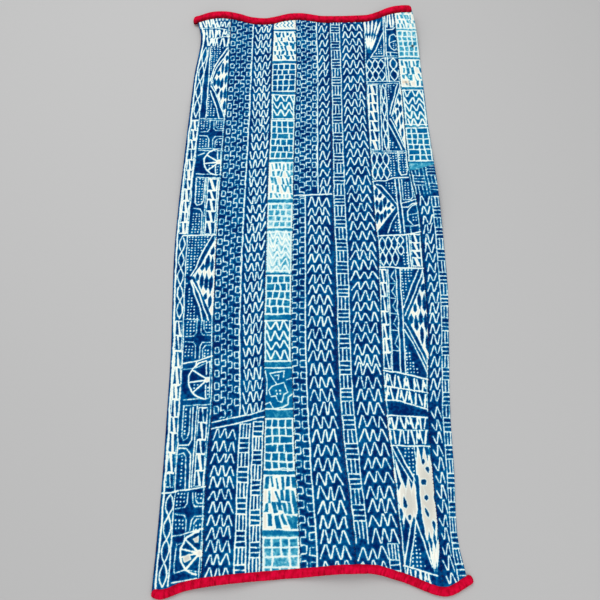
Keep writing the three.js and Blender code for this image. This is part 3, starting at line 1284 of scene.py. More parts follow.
    # Wide worn fields with dyed flecks, between dotted wedges.
    p.line((142, -391), (158, -424), (173, -452))
    p.line((151, -391), (164, -420), (180, -450))
    p.ray((146, -412), (158, -462), 5)
    p.ray((143, -426), (151, -490), 4.5)
    p.dotted([(156, -393), (181, -393), (183, -466)], 6.2)
    p.line((181, -391), (184, -464), half=FINE)
    for a, b, width in (
        ((187, -388), (188, -470), 13), ((197, -390), (198, -480), 15), ((205, -392), (206, -484), 9),
        ((189, -440), (192, -545), 15), ((199, -450), (200, -548), 17), ((206, -470), (207, -546), 8),
        ((157, -446), (155, -522), 12), ((167, -440), (165, -520), 15), ((176, -446), (175, -512), 11),
    ):
        p.spindle(a, b, width)
    p.line((181, -442), (183, -500), (190, -592), half=3.4, carve=True)
    for a, b, width in (
        ((195, -412), (194, -422), 6), ((200, -424), (202, -436), 6), ((190, -446), (196, -456), 10),
        ((196, -471), (195, -481), 7), ((192, -492), (197, -508), 5), ((158, -474), (160, -494), 6),
        ((151, -492), (153, -512), 6), ((167, -503), (164, -512), 6), ((204, -512), (206, -530), 5),
        ((203, -392), (206, -408), 6),
    ):
        p.spindle(a, b, width, True)
    p.spot(197, -468, 15, 82, -0.2)
    p.spot(166, -484, 14, 40, -0.2)
    p.shape([(153, -584), (170, -512), (189, -584)], carve=True)
    p.line((170, -508), (152, -580))
    p.line((176, -512), (161, -582))
    p.line((174, -508), (186, -546), (197, -584))
    p.dotted([(171, -518), (158, -584), (189, -584)], 6.2)
    p.fan((202, -604), (193, -540), (210, -540), 3, 5.0)
    p.line((149, -581), (204, -597))
    p.teeth(152, 196, -604, -586, 7, -0.2)


def paint_edge_far(p: ResistPainter) -> None:
    """The far part of the strip at the right side: pale, in sections.

    Args:
        p: a painter in straightened places.
    """
    paint_sections(p, EDGE_SECTIONS, 207, 255)
    p.spot(219, 406, 11, 5, 0.6)
    p.spot(224, 399, 6, 4, 0.5)
    p.spot(241, 509, 4.5, 5.5, -0.95)


def paint_edge_near(p: ResistPainter) -> None:
    """The near part of the strip at the right side: zigzags and a basket column.

    Args:
        p: a painter in straightened places.
    """
    p.basket(213, 233, 118, 186, 24)
    p.basket(238.5, 258, 118, 186, 22, upright=False)
    p.zigzags(215.5, 235, -320, 112, 1.5, 21.4)
    p.zigzags(216, 235, -606, -320, 1.5, 22.6, starts_low=False, first=0.1)
    p.basket(239, 258, -610, 112, 24, half=THIN_BAR)


# Panels


MESH_PITCH = 1.22
UNDERSIDE_STEP = 4
SHEET_THICKNESS = 1.2
FLOOR_CLEARANCE = 0.05
Painter = Callable[[ResistPainter], None]


class Stretch(Enum):
    """Which part of the cloth's length a panel covers."""

    WHOLE = (0.0, 1.0)
    FAR = (CROSS_SEAM_STATION + PIECE_GAP / 2 / NOMINAL_LENGTH, 1.0)
    NEAR = (0.0, CROSS_SEAM_STATION - PIECE_GAP / 2 / NOMINAL_LENGTH)


def grid_mesh(name: str, columns: int, rows: int) -> tuple[bpy.types.Mesh, np.ndarray, np.ndarray]:
    """A flat grid to be shaped into cloth.

    Args:
        name: the mesh's name.
        columns: steps across.
        rows: steps along.

    Returns:
        The mesh, and each vertex's column and row.
    """
    shape = bmesh.new()
    bmesh.ops.create_grid(shape, x_segments=columns, y_segments=rows, size=0.5)
    mesh = bpy.data.meshes.new(name)
    shape.to_mesh(mesh)
    shape.free()
    co = np.empty(len(mesh.vertices) * 3)
    mesh.vertices.foreach_get("co", co)
    place = co.reshape(-1, 3)
    column = np.rint((place[:, 0] + 0.5) * columns).astype(int)
    row = np.rint((place[:, 1] + 0.5) * rows).astype(int)
    return mesh, column, row


def sheet_mesh(name: str, columns: int,
               rows: int) -> tuple[bpy.types.Mesh, np.ndarray, np.ndarray, np.ndarray]:
    """A closed two-faced sheet to be shaped into cloth, with a coarser underside.

    Args:
        name: the mesh's name.
        columns: steps across the face, a multiple of the underside's step.
        rows: steps along it, likewise.

    Returns:
        The mesh, each vertex's column and row on the face, and which are on the underside.
    """
    step = UNDERSIDE_STEP
    shape = bmesh.new()
    face = bmesh.ops.create_grid(shape, x_segments=columns, y_segments=rows, size=0.5)["verts"]
    facing = len(shape.faces)
    back = bmesh.ops.create_grid(
        shape, x_segments=columns // step, y_segments=rows // step, size=0.5
    )["verts"]
    bmesh.ops.reverse_faces(shape, faces=list(shape.faces)[facing:])
    places = [(round((v.co.x + 0.5) * columns), round((v.co.y + 0.5) * rows)) for v in (*face, *back)]
    on_face = dict(zip(places[:len(face)], face))
    on_back = dict(zip(places[len(face):], back))
    ring = [(i, 0) for i in range(columns)] + [(columns, j) for j in range(rows)]
    ring += [(columns - i, rows) for i in range(columns)] + [(0, rows - j) for j in range(rows + 1)]
    for i in range(0, len(ring) - 1, step):
        top = [on_face[place] for place in reversed(ring[i:i + step + 1])]
        shape.faces.new([on_back[ring[i]], on_back[ring[i + step]], *top])
    mesh = bpy.data.meshes.new(name)
    shape.to_mesh(mesh)
    shape.free()
    column, row = np.array(places).T
    return mesh, column, row, np.arange(len(places)) >= len(on_face)


def set_points(mesh: bpy.types.Mesh, x: np.ndarray, y: np.ndarray, z: np.ndarray) -> None:
    """Move a mesh's vertices to plan places, in the frame's metres.

    Args:
        mesh: what is moved.
        x: plan places across, in millimetres.
        y: plan places along.
        z: heights.
    """
    place = np.stack([x + FRAME_SHIFT[0], y + FRAME_SHIFT[1], z], axis=1) * MM
    mesh.vertices.foreach_set("co", place.ravel())
    mesh.polygons.foreach_set("use_smooth", np.ones(len(mesh.polygons), bool))
    mesh.update()


def set_attribute(mesh: bpy.types.Mesh, name: str, values: np.ndarray) -> None:
    """Store one number at each vertex for the finish to read.

    Args:
        mesh: what carries it.
        name: the attribute's name.
        values: one number for each vertex.
    """
    layer = mesh.attributes.new(name, "FLOAT", "POINT")
    layer.data.foreach_set("value", values.astype(np.float32))


def add_piece(name: str, mesh: bpy.types.Mesh, material: bpy.types.Material) -> bpy.types.Object:
    """Put a mesh in the scene as a piece of the cloth.

    Args:
        name: the piece's name.
        mesh: its mesh.
        material: its finish.

    Returns:
        The new object.
    """
    piece = bpy.data.objects.new(name, mesh)
    mesh.materials.append(material)
    bpy.context.scene.collection.objects.link(piece)
    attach(piece, BODY)
    return piece


def give_thickness(piece: bpy.types.Object, thickness: float) -> None:
    """Give a sheet its thickness, below the modelled face.

    Args:
        piece: the sheet.
        thickness: in millimetres.
    """
    wall = piece.modifiers.new("thickness", "SOLIDIFY")
    wall.thickness = thickness * MM
    wall.offset = -1


@dataclass(frozen=True)
class Relief:
    """Fine heights of a panel's face and the distances over which they change, in millimetres."""

    swell: float = 0.7
    swell_pitch: float = 47.0
    pucker: float = 0.45
    pucker_pitch: float = 8.5
    pucker_reach: float = 11.0
    pucker_squeeze: float = 0.35
    sewn_dip: float = 0.85
    sewn_reach: float = 2.0
    strip_dip: float = 0.55
    strip_reach: float = 1.8
    strip_pucker: float = 0.3
    strip_pucker_pitch: float = 9.5
    strip_pucker_reach: float = 8.0
    line_rise: float = 0.22
    line_edge: float = 1.5
    slub: float = 0.1
    slub_pitch: float = 3.6


RELIEF = Relief()


@dataclass(frozen=True)
class Panel:
    """One sewn panel of the cloth.

    A panel with a straight span is charted as if its two seams stood straight at those places.
    """

    name: str
    from_seam: str
    to_seam: str
    flat: tuple[float, float]
    slot: str
    paint: Painter
    seed: int
    stretch: Stretch = Stretch.WHOLE
    straight: Span | None = None
    ground: float = 0.0
    strip_seams: tuple[float, ...] = ()

    def build(self, material: bpy.types.Material) -> bpy.types.Object:
        """Make the panel on its solid's folds and dye it.

        Args:
            material: the dyed cotton.

        Returns:
            The panel's object.
        """
        first, last = self.stretch.value
        columns = round(self.flat[0] / MM / MESH_PITCH / UNDERSIDE_STEP) * UNDERSIDE_STEP
        rows = round(self.flat[1] / MM / MESH_PITCH / UNDERSIDE_STEP) * UNDERSIDE_STEP
        mesh, column, row, on_back = sheet_mesh(f"{self.name}_mesh", columns, rows)
        share, station = np.meshgrid(np.linspace(0, 1, columns + 1), np.linspace(first, last, rows + 1))
        guide = NEAR_GUIDE_Y + (FAR_GUIDE_Y - NEAR_GUIDE_Y) * station
        start = SEAMS[self.from_seam](guide) + PIECE_GAP / 2
        end = SEAMS[self.to_seam](guide) - PIECE_GAP / 2
        x = start + (end - start) * share
        near = NEAR_END(x) - TUCK_PAST_MIDDLE
        y = near + (FAR_END(x) + TUCK_PAST_MIDDLE - near) * station
        face = underside(x, y) + CLOTH_THICKNESS
        painter = self.dye(share, *as_charted(x, y, face))
        z = face + self.relief(share, x, y, end - start, painter.field)
        z = np.maximum(z, SHEET_THICKNESS + FLOOR_CLEARANCE)
        at = (row, column)
        set_points(mesh, x[at], y[at], z[at] - SHEET_THICKNESS * on_back)
        set_attribute(mesh, "resist", painter.field[at])
        set_attribute(mesh, "tone", painter.tone[at])
        set_attribute(mesh, "stain", painter.stain[at])
        piece = add_piece(f"{self.name}_cloth", mesh, material)
        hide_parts(self.name)
        return piece

    def dye(self, share: np.ndarray, x: np.ndarray, y: np.ndarray) -> ResistPainter:
        """Draw the panel's undyed lines.

        Args:
            share: each point's place between the panel's two seams.
            x: chart places across.
            y: chart places along.

        Returns:
            The painter, with its fields filled.
        """
        across = x
        if self.straight is not None:
            across = self.straight[0] + (self.straight[1] - self.straight[0]) * share
        painter = ResistPainter(across, y, np.random.default_rng(self.seed))
        painter.tone += self.ground
        self.paint(painter)
        return painter

    def relief(self, share: np.ndarray, x: np.ndarray, y: np.ndarray, wide: np.ndarray,
               resist: np.ndarray) -> np.ndarray:
        """Fine height of the face: sewn edges, puckers, strip seams and stitched lines.

        Args:
            share: each point's place between the panel's two seams.
            x: plan places across.
            y: plan places along.
            wide: the panel's width at each point.
            resist: the field of undyed lines.

        Returns:
            Heights in millimetres above the plain sheet.
        """
        fine = RELIEF
        squeezed = x * fine.pucker_squeeze
        to_edge = np.minimum(share, 1 - share) * wide
        z = fine.swell * (1 + patchy(x, y, fine.swell_pitch, self.seed)) / 2
        puckers = patchy(squeezed, y, fine.pucker_pitch, self.seed + 1)
        z = z + fine.pucker * puckers * np.exp(-to_edge / fine.pucker_reach)
        z = z - fine.sewn_dip * np.exp(-((to_edge / fine.sewn_reach) ** 2))
        for seam in self.strip_seams:
            away = np.abs(share - seam) * wide
            puckers = patchy(squeezed, y, fine.strip_pucker_pitch, self.seed + 2)
            z = z - fine.strip_dip * np.exp(-((away / fine.strip_reach) ** 2))
            z = z + fine.strip_pucker * puckers * np.exp(-away / fine.strip_pucker_reach)
        z = z + fine.line_rise * smooth_step(-fine.line_edge, fine.line_edge, resist)
        return z + fine.slub * patchy(x, y, fine.slub_pitch, self.seed + 3)


INDIGO_SLOT = "indigo_cotton"
PALE_SLOT = "pale_cotton"
PANELS = (
    Panel("left_panel", "left", "meander", (0.078, 1.19), INDIGO_SLOT, paint_left, 11, strip_seams=(0.52,)),
    Panel("meander_panel", "meander", "pale", (0.095, 1.19), INDIGO_SLOT, paint_meander, 12,
          straight=(-177, -80), strip_seams=(0.51,)),
    Panel("pale_strip", "pale", "ladder", (0.053, 1.185), PALE_SLOT, paint_pale, 13,
          straight=(-80, -28), ground=0.45),
    Panel("ladder_panel", "ladder", "basket", (0.081, 1.18), INDIGO_SLOT, paint_ladder, 14,
          straight=(-28, 50)),
    Panel("basket_panel", "basket", "right", (0.080, 1.18), INDIGO_SLOT, paint_basket, 15,
          straight=(50, 129), strip_seams=(0.33,)),
    Panel("right_panel", "right", "edge", (0.078, 1.20), INDIGO_SLOT, paint_right, 16, strip_seams=(0.5,)),
    Panel("edge_strip_far", "edge", "side", (0.048, 0.42), PALE_SLOT, paint_edge_far, 17,
          stretch=Stretch.FAR, straight=(207, 255), ground=0.72),
    Panel("edge_strip_near", "edge", "side", (0.039, 0.79), INDIGO_SLOT, paint_edge_near, 18,
          stretch=Stretch.NEAR, straight=(211, 254)),
)


# Bindings


@dataclass(frozen=True)
class Binding:
    """A red strip folded over one end of the cloth and overcast, so that it gathers.

    Its section is most of a squared oval, open at the lips that hold the cloth.
    """

    name: str
    end: SmoothCurve
    outward: int
    left: float
    right: float
    seed: int
    around: int = 20
    pitch: float = 1.5
    gather: float = 4.2
    gather_stray: Span = (0.5, 1.45)
    groove_width: Span = (0.6, 1.2)
    groove_share: Span = (0.1, 0.9)
    groove_slant: Span = (0.25, 0.9)
    groove_depth: float = 0.07
    half_width: float = 7.4
    half_height: float = 3.5
    squareness: float = 0.8
    lip_deg: float = 158.0
    # Painted shade on the inner lip: where it starts and ends across the section, and how dark it is.
    lip_edge: Span = (-0.15, 0.85)
    lip_shade: float = 0.35
    puff: float = 0.05
    puff_pitch: float = 14.0
    puff_squeeze: float = 2.0
    tip_length: float = 6.5
    tip_size: float = 0.35
    cloth: float = 1.0
    flat_width: float = 0.032
    samples: int = 1200

    def build(self, material: bpy.types.Material) -> bpy.types.Object:
        """Sweep the folded section along the end and gather it.

        Args:
            material: the red cotton.

        Returns:
            The binding's object.
        """
        xs = np.linspace(self.left, self.right, self.samples)
        ys = self.end(xs)
        run = np.concatenate([[0], np.cumsum(np.hypot(np.diff(xs), np.diff(ys)))])
        length = run[-1]
        rows = round(length / self.pitch)
        mesh, column, row = grid_mesh(f"{self.name}_mesh", self.around, rows)
        along = length * row / rows
        x = np.interp(along, run, xs)
        lean = np.interp(along, run, np.gradient(ys, xs))
        normal_x = -lean / np.hypot(1, lean) * self.outward
        normal_y = 1 / np.hypot(1, lean) * self.outward
        angle = np.radians(self.lip_deg - 2 * self.lip_deg * column / self.around)
        out = np.sign(np.cos(angle)) * np.abs(np.cos(angle)) ** self.squareness * self.half_width
        up = np.sign(np.sin(angle)) * np.abs(np.sin(angle)) ** self.squareness * self.half_height
        slant_out, slant_up = self.groove_slant
        # The grooves' depth shapes the binding and is also painted into its colour as shade.
        groove_and_painted_shade = self.creases(along + slant_up * up + slant_out * out, length)
        puffs = patchy(along, out * self.puff_squeeze, self.puff_pitch, self.seed)
        fat = 1 + self.puff * puffs - self.groove_depth * groove_and_painted_shade
        from_tip = np.clip(np.minimum(along, length - along) / self.tip_length, 0, 1)
        fat = fat * (self.tip_size + (1 - self.tip_size) * np.sqrt(from_tip * (2 - from_tip)))
        px = x + normal_x * out * fat
        py = self.end(x) + normal_y * out * fat
        pz = underside(px, py) + CLOTH_THICKNESS / 2 + up * fat
        set_points(mesh, px, py, np.maximum(pz, FLOOR_CLEARANCE))
        # Painted shade: the inner half, towards the cloth, and the grooves are darkened in the colour.
        lip_painted_shade = smooth_step(*self.lip_edge, -out / self.half_width)
        set_attribute(mesh, "groove_and_painted_shade", np.maximum(groove_and_painted_shade, self.lip_shade * lip_painted_shade))
        shape = bmesh.new()
        shape.from_mesh(mesh)
        bmesh.ops.recalc_face_normals(shape, faces=shape.faces)
        shape.to_mesh(mesh)
        shape.free()
        piece = add_piece(f"{self.name}_cloth", mesh, material)
        give_thickness(piece, self.cloth)
        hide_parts(self.name)
        return piece

    def creases(self, along: np.ndarray, length: float) -> np.ndarray:
        """Slanted grooves where the overcasting draws the binding in.

        Args:
            along: distance along the binding, already slanted round it.
            length: the binding's length.

        Returns:
            How deep in a groove each point is, from 0 to 1.
        """
        rng = np.random.default_rng(self.seed)
        depth = np.zeros(along.shape)
        margin = 10.0
        at = -margin
        while at < length + margin:
            width = rng.uniform(*self.groove_width)
            groove = np.exp(-(((along - at) / width) ** 2))
            depth = np.maximum(depth, rng.uniform(*self.groove_share) * groove)
            at += self.gather * rng.uniform(*self.gather_stray)
        return depth


BINDINGS = (
    # The far binding's inner half gets the full painted shade.
    Binding("binding_far", FAR_END, 1, -262.5, 237.5, 31,
            half_width=11.0, half_height=4.2, lip_shade=1.0, flat_width=0.046),
    Binding("binding_near", NEAR_END, -1, -252.5, 259.0, 32),
)


# Seam stitches


@dataclass(frozen=True)
class SeamStitches:
    """Overcast stitches of dark thread along one seam between panels."""

    seam: str
    low: float
    high: float
    seed: int
    pitch: float = 6.5
    pitch_stray: Span = (0.8, 1.25)
    length: float = 4.6
    length_stray: Span = (0.75, 1.15)
    thread: float = 0.55
    flatness: float = 1.2
    sunk: float = 0.15
    stray: float = 0.25
    lean: float = 0.45
    lean_stray: float = 0.16

    def build(self, material: bpy.types.Material) -> bpy.types.Object:
        """Lay the stitches across the seam, each a little uneven.

        Args:
            material: the thread.

        Returns:
            One object with all the seam's stitches.
        """
        rng = np.random.default_rng(self.seed)
        shape = bmesh.new()
        y = self.low
        while y < self.high:
            x = float(SEAMS[self.seam](y)) + rng.normal(0, self.stray)
            z = float(underside(np.array(x), np.array(y))) + CLOTH_THICKNESS - self.sunk
            place = Vector((x + FRAME_SHIFT[0], y + FRAME_SHIFT[1], z)) * MM
            turn = Euler((0, 0, rng.normal(self.lean, self.lean_stray))).to_matrix().to_4x4()
            size = Matrix.Diagonal((self.length / 2 * rng.uniform(*self.length_stray) * MM,
                                    self.thread * self.flatness * MM, self.thread * MM, 1))
            bmesh.ops.create_uvsphere(shape, u_segments=5, v_segments=4, radius=1,
                                      matrix=Matrix.Translation(place) @ turn @ size)
            y += self.pitch * rng.uniform(*self.pitch_stray)
        mesh = bpy.data.meshes.new(f"stitches_{self.seam}_mesh")
        shape.to_mesh(mesh)
        shape.free()
        mesh.polygons.foreach_set("use_smooth", np.ones(len(mesh.polygons), bool))
        piece = add_piece(f"stitches_{self.seam}", mesh, material)
        return piece


STITCHES = (
    SeamStitches("meander", -592, 568, 41),
    SeamStitches("pale", -584, 570, 42),
    SeamStitches("ladder", -578, 574, 43),
    SeamStitches("basket", -575, 574, 44),
    SeamStitches("right", -588, 576, 45),
    SeamStitches("edge", -604, 580, 46),
)


# Finishes


Stops = tuple[tuple[float, str], ...]

# A wave texture of scale 1 repeats at this distance.
WAVE_REPEAT = math.pi / 10

# Where a noise texture's values mostly lie.
NOISE_LOW = 0.3
NOISE_HIGH = 0.7

# The output of a mix node that gives a colour; its two colours go in at sockets 6 and 7.
MIXED_COLOUR = 2


def linear(colour: str) -> tuple[float, float, float, float]:
    """Turn an sRGB hex colour to linear light.

    Args:
        colour: such as "#0a5ca8".

    Returns:
        Red, green, blue and a full alpha.
    """
    parts = [int(colour[i:i + 2], 16) / 255 for i in (1, 3, 5)]
    red, green, blue = (c / 12.92 if c <= 0.04045 else ((c + 0.055) / 1.055) ** 2.4 for c in parts)
    return red, green, blue, 1.0


def feed(tree: bpy.types.NodeTree, node: bpy.types.Node, values: dict[str | int, object]) -> None:
    """Link or set a node's inputs.

    Args:
        tree: the material's nodes.
        node: the node.
        values: from an input's name or number to an output socket or a constant.
    """
    for key, value in values.items():
        if isinstance(value, bpy.types.NodeSocket):
            tree.links.new(value, node.inputs[key])
        else:
            node.inputs[key].default_value = value


def add_node(tree: bpy.types.NodeTree, kind: str, values: dict[str | int, object] | None = None,
             out: str | int = 0, stops: Stops = (), **settings: object) -> bpy.types.NodeSocket:
    """Add a shader node with its settings and links.

    Args:
        tree: the material's nodes.
        kind: the node's type.
        values: from an input's name or number to an output socket or a constant.
        out: the name or number of the output that is used.
        stops: positions and sRGB colours, for a ramp.
        settings: the node's own properties.

    Returns:
        The output.
    """
    node = tree.nodes.new(kind)
    for key, value in settings.items():
        setattr(node, key, value)
    feed(tree, node, values or {})
    elements = node.color_ramp.elements if stops else ()
    while len(elements) < len(stops):
        elements.new(0.5)
    for element, (position, colour) in zip(elements, stops):
        element.position = position
        element.color = linear(colour)
    return node.outputs[out]


def per_metre(size_mm: float) -> float:
    """A texture's scale for features of a real size in millimetres."""
    return 1.0 / (size_mm * MM)


def start_material(name: str) -> tuple[bpy.types.Material, bpy.types.NodeTree, bpy.types.Node]:
    """A new material with its shader node.

    Args:
        name: the material's name.

    Returns:
        The material, its nodes and its shader.
    """
    material = bpy.data.materials.new(name)
    material.use_nodes = True
    tree = material.node_tree
    return material, tree, tree.nodes["Principled BSDF"]


def weave_height(tree: bpy.types.NodeTree, pitch: float) -> bpy.types.NodeSocket:
    """Height of a plain weave: threads across over threads along.

    Args:
        tree: the material's nodes.
        pitch: thread spacing in millimetres.

    Returns:
        The height output, from 0 to 2.
    """
    place = add_node(tree, "ShaderNodeTexCoord", out="Object")
    across, along = (
        add_node(tree, "ShaderNodeTexWave",
                 {"Vector": place, "Scale": per_metre(pitch) * WAVE_REPEAT, "Distortion": 1.2,
                  "Detail": 1.0, "Detail Scale": 2.0},
                 out="Fac", wave_type="BANDS", bands_direction=direction)
        for direction in ("X", "Y")
    )
    return add_node(tree, "ShaderNodeMath", {0: across, 1: along}, operation="ADD")


@dataclass(frozen=True)
class IndigoCotton:
    """Hand-spun, strip-woven cotton, stitched off and dipped in indigo: matt and a little hairy.

    The eye sees crisp but uneven undyed lines with a paler rim, and a cloudy blue ground.
    Edges are places in the field of undyed lines, in millimetres, and lifts are shares of the dye's ramp.
    """

    name: str = "strip_woven_indigo_cotton"
    ground: Stops = (
        (0.0, "#00215c"), (0.16, "#004079"), (0.36, "#005f97"),
        (0.56, "#0a729e"), (0.78, "#4aabc6"), (1.0, "#c6e8ec"),
    )
    undyed: Stops = ((0.3, "#e6f5f0"), (0.52, "#f6faf0"), (0.75, "#fffbe8"))
    worn: str = "#e6e5da"
    tan: str = "#d9b78e"
    speck: str = "#16202a"
    # Coarser than the real threads, which are guessed to be about 1 mm apart, so that they show.
    thread_mm: float = 2.6
    cloud_mm: float = 34.0
    mottle_mm: float = 5.5
    fray_mm: float = 2.4
    mottle_push: float = 1.2
    fray_push: float = 1.5
    white_edge: Span = (1.2, 2.0)
    rim_edge: Span = (0.35, 1.8)
    rim_lift: float = 0.6
    bleed_edge: Span = (-3.4, 0.3)
    bleed_lift: float = 0.34
    cloud_lift: Span = (-0.1, 0.19)
    mottle_lift: Span = (-0.12, 0.19)
    worn_edge: Span = (1.2, 2.6)
    line_relief: float = 0.6
    bump_mm: float = 0.35
    bump_strength: float = 0.45
    roughness: float = 0.9
    specular: float = 0.03

    def make(self) -> bpy.types.Material:
        """Build the finish.

        Returns:
            The material.
        """
        material, tree, shader = start_material(self.name)
        place = add_node(tree, "ShaderNodeTexCoord", out="Object")
        resist, tone, stain = (
            add_node(tree, "ShaderNodeAttribute", out="Fac", attribute_name=name)
            for name in ("resist", "tone", "stain")
        )
        cloud, mottle, fray = (
            add_node(tree, "ShaderNodeTexNoise",
                     {"Vector": place, "Scale": per_metre(size), "Detail": detail})
            for size, detail in ((self.cloud_mm, 3.0), (self.mottle_mm, 2.0), (self.fray_mm, 1.0))
        )

        # Lines come and go and their edges fray: two noises push the field in and out by up to about
        # half a millimetre. They add 1.35 mm on average, which the white and rim edges allow for.
        frayed = resist
        for noise, push in ((mottle, self.mottle_push), (fray, self.fray_push)):
            frayed = add_node(tree, "ShaderNodeMath", {0: noise, 1: push, 2: frayed},
                              operation="MULTIPLY_ADD")
        white, rim = (
            add_node(tree, "ShaderNodeMapRange", {"Value": frayed, "From Min": low, "From Max": high},
                     interpolation_type="SMOOTHSTEP")
            for low, high in (self.white_edge, self.rim_edge)
        )

        # The stitching held some dye off beside a line too, so the ground is paler there.
        bleed = add_node(tree, "ShaderNodeMapRange",
                         {"Value": resist, "From Min": self.bleed_edge[0],
                          "From Max": self.bleed_edge[1], "To Max": self.bleed_lift},
                         interpolation_type="SMOOTHSTEP")
        dyed = add_node(tree, "ShaderNodeMath", {0: 1.0, 1: tone}, operation="SUBTRACT")
        lightness = add_node(tree, "ShaderNodeMath", {0: bleed, 1: dyed, 2: tone},
                             operation="MULTIPLY_ADD")
        for noise, (low, high) in ((cloud, self.cloud_lift), (mottle, self.mottle_lift)):
            lift = add_node(tree, "ShaderNodeMapRange",
                            {"Value": noise, "From Min": NOISE_LOW, "From Max": NOISE_HIGH,
                             "To Min": low, "To Max": high})
            lightness = add_node(tree, "ShaderNodeMath", {0: lightness, 1: lift}, operation="ADD")
        lightness = add_node(tree, "ShaderNodeMath", {0: rim, 1: self.rim_lift, 2: lightness},
                             operation="MULTIPLY_ADD")
        ground = add_node(tree, "ShaderNodeValToRGB", {"Fac": lightness}, stops=self.ground)
        undyed = add_node(tree, "ShaderNodeValToRGB", {"Fac": cloud}, stops=self.undyed)

        # Wide undyed fields have greyed with wear more than the lines have.
        wide = add_node(tree, "ShaderNodeMapRange",
                        {"Value": resist, "From Min": self.worn_edge[0], "From Max": self.worn_edge[1]})
        greyed = add_node(tree, "ShaderNodeMix", {0: wide, 6: undyed, 7: linear(self.worn)},
                          out=MIXED_COLOUR, data_type="RGBA")
        colour = add_node(tree, "ShaderNodeMix", {0: white, 6: ground, 7: greyed},
                          out=MIXED_COLOUR, data_type="RGBA")

        # Stains are tan where the attribute is above 0 and dark where it is below.
        dark = add_node(tree, "ShaderNodeMath", {0: stain, 1: -1.0}, operation="MULTIPLY")
        for share, mark in ((stain, self.tan), (dark, self.speck)):
            colour = add_node(tree, "ShaderNodeMix", {0: share, 6: colour, 7: linear(mark)},
                              out=MIXED_COLOUR, data_type="RGBA")

        weave = weave_height(tree, self.thread_mm)
        raised = add_node(tree, "ShaderNodeMath", {0: white, 1: self.line_relief, 2: weave},
                          operation="MULTIPLY_ADD")
        bump = add_node(tree, "ShaderNodeBump",
                        {"Strength": self.bump_strength, "Distance": self.bump_mm * MM, "Height": raised})
        feed(tree, shader, {"Base Color": colour, "Normal": bump, "Roughness": self.roughness,
                            "Specular IOR Level": self.specular})
        return material


@dataclass(frozen=True)
class RedBindingCotton:
    """Crimson cotton, folded and overcast: soft and matt, with painted shade in its drawn-in grooves and on
    its inner lip.
    """

    name: str = "overcast_red_cotton"
    # Red from lit to shaded: the dark end of the ramp is painted shade.
    shades: Stops = ((0.0, "#e0073b"), (0.35, "#c4032b"), (1.0, "#640009"))
    # Coarser than real threads, so that they show.
    thread_mm: float = 1.6
    fade_mm: float = 8.0
    fade_shade: Span = (-0.1, 0.4)
    groove_shade: float = 0.7
    bump_mm: float = 0.25
    bump_strength: float = 0.5
    roughness: float = 0.85
    specular: float = 0.04

    def make(self) -> bpy.types.Material:
        """Build the finish.

        Returns:
            The material.
        """
        material, tree, shader = start_material(self.name)
        place = add_node(tree, "ShaderNodeTexCoord", out="Object")
        groove_and_painted_shade = add_node(tree, "ShaderNodeAttribute", out="Fac", attribute_name="groove_and_painted_shade")
        fade = add_node(tree, "ShaderNodeTexNoise",
                        {"Vector": place, "Scale": per_metre(self.fade_mm), "Detail": 3.0})
        uneven = add_node(tree, "ShaderNodeMapRange",
                          {"Value": fade, "From Min": NOISE_LOW, "From Max": NOISE_HIGH,
                           "To Min": self.fade_shade[0], "To Max": self.fade_shade[1]})
        # Painted shade: the red darkens in the grooves and on the inner lip, on top of a random fade.
        painted_shade_and_fade = add_node(tree, "ShaderNodeMath", {0: groove_and_painted_shade, 1: self.groove_shade, 2: uneven},
                         operation="MULTIPLY_ADD")
        colour = add_node(tree, "ShaderNodeValToRGB", {"Fac": painted_shade_and_fade}, stops=self.shades)
        bump = add_node(tree, "ShaderNodeBump",
                        {"Strength": self.bump_strength, "Distance": self.bump_mm * MM,
                         "Height": weave_height(tree, self.thread_mm)})
        feed(tree, shader, {"Base Color": colour, "Normal": bump, "Roughness": self.roughness,
                            "Specular IOR Level": self.specular})
        return material


@dataclass(frozen=True)
class SewingThread:
    """Dark cotton sewing thread: matt, and a little uneven in its dye."""

    name: str = "dark_cotton_thread"
    shades: Stops = ((0.35, "#050d33"), (0.7, "#16357a"))
    fade_mm: float = 12.0
    roughness: float = 0.8

    def make(self) -> bpy.types.Material:
        """Build the finish.

        Returns:
            The material.
        """
        material, tree, shader = start_material(self.name)
        place = add_node(tree, "ShaderNodeTexCoord", out="Object")
        fade = add_node(tree, "ShaderNodeTexNoise",
                        {"Vector": place, "Scale": per_metre(self.fade_mm), "Detail": 1.0})
        colour = add_node(tree, "ShaderNodeValToRGB", {"Fac": fade}, stops=self.shades)
        feed(tree, shader, {"Base Color": colour, "Roughness": self.roughness})
        return material


# Studio


@dataclass(frozen=True)
class SoftLight:
    """A square soft light that faces the cloth: its place and side in metres, its power in watts."""

    name: str
    place: tuple[float, float, float]
    side: float
    power: float

    def build(self) -> None:
        """Hang the light."""
        lamp = bpy.data.lights.new(self.name, "AREA")
        lamp.size = self.side
        lamp.energy = self.power
        seat = bpy.data.objects.new(self.name, lamp)
        seat.location = self.place
        seat.rotation_euler = (-Vector(self.place)).to_track_quat("-Z", "Y").to_euler()
        bpy.context.scene.collection.objects.link(seat)


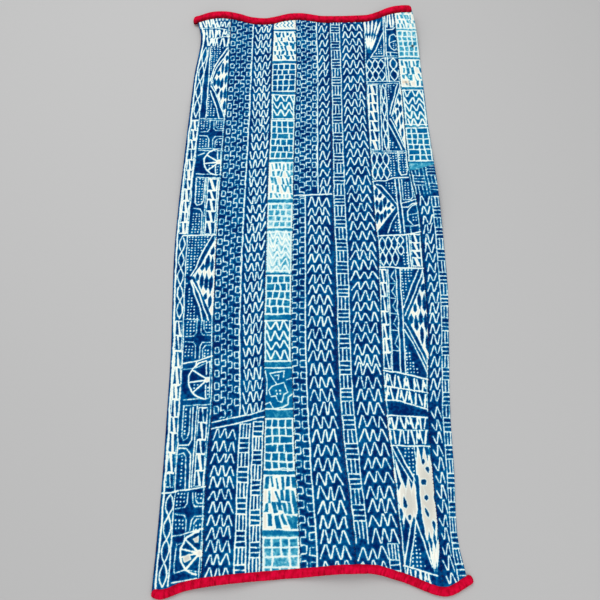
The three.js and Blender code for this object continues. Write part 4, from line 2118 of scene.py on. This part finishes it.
@dataclass(frozen=True)
class Studio:
    """A pale floor, soft light and a camera at the photograph's angle, with sizes in metres."""

    target: tuple[float, float, float] = (-0.0185, -0.1007, 0.0)
    distance: float = 1.22
    tilt_deg: float = 22.7
    focal_px: float = 643.0
    frame_px: float = 600.0
    sensor_mm: float = 36.0
    lights: tuple[SoftLight, ...] = (
        SoftLight("key_light", (-0.5, 0.9, 1.9), 1.4, 21.5),
        SoftLight("fill_light", (0.6, -1.3, 1.7), 1.6, 12.0),
    )
    sky_strength: float = 0.59
    floor_reach: float = 6.0
    floor_colour: str = "#b8b8b8"
    floor_roughness: float = 0.9

    def build(self) -> None:
        """Make the camera, lights, sky and floor."""
        self.camera()
        for light in self.lights:
            light.build()
        self.sky()
        self.floor()
        bpy.context.scene.view_settings.view_transform = "Standard"

    def camera(self) -> None:
        """Stand the camera above the cloth's near end, looking along it."""
        tilt = math.radians(self.tilt_deg)
        camera = bpy.data.cameras.new("camera")
        camera.sensor_width = self.sensor_mm
        camera.lens = self.focal_px / self.frame_px * self.sensor_mm
        seat = bpy.data.objects.new("camera", camera)
        back = Vector((0, -math.sin(tilt), math.cos(tilt))) * self.distance
        seat.location = Vector(self.target) + back
        seat.rotation_euler = (tilt, 0, 0)
        bpy.context.scene.collection.objects.link(seat)
        bpy.context.scene.camera = seat

    def sky(self) -> None:
        """Even light from all round."""
        world = bpy.data.worlds.new("studio_sky")
        world.use_nodes = True
        background = world.node_tree.nodes["Background"]
        background.inputs["Color"].default_value = (1, 1, 1, 1)
        background.inputs["Strength"].default_value = self.sky_strength
        bpy.context.scene.world = world

    def floor(self) -> None:
        """A wide plain floor under the cloth."""
        shape = bmesh.new()
        bmesh.ops.create_grid(shape, x_segments=1, y_segments=1, size=self.floor_reach)
        mesh = bpy.data.meshes.new("floor_mesh")
        shape.to_mesh(mesh)
        shape.free()
        material, tree, shader = start_material("studio_floor")
        feed(tree, shader, {"Base Color": linear(self.floor_colour), "Roughness": self.floor_roughness})
        mesh.materials.append(material)
        floor = bpy.data.objects.new("floor", mesh)
        bpy.context.scene.collection.objects.link(floor)


def main() -> None:
    """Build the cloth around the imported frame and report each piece."""
    logging.basicConfig(level=logging.INFO, format="%(message)s")
    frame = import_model()
    LOG.info("frame: %d nodes", len(frame["nodes"]))
    Studio().build()
    cotton = IndigoCotton().make()
    red = RedBindingCotton().make()
    thread = SewingThread().make()
    pieces = [panel.build(cotton) for panel in PANELS]
    pieces += [binding.build(red) for binding in BINDINGS]
    pieces += [seam.build(thread) for seam in STITCHES]
    for piece in pieces:
        LOG.info("%s: %d faces", piece.name, len(piece.data.polygons))


if __name__ == "__main__":
    main()
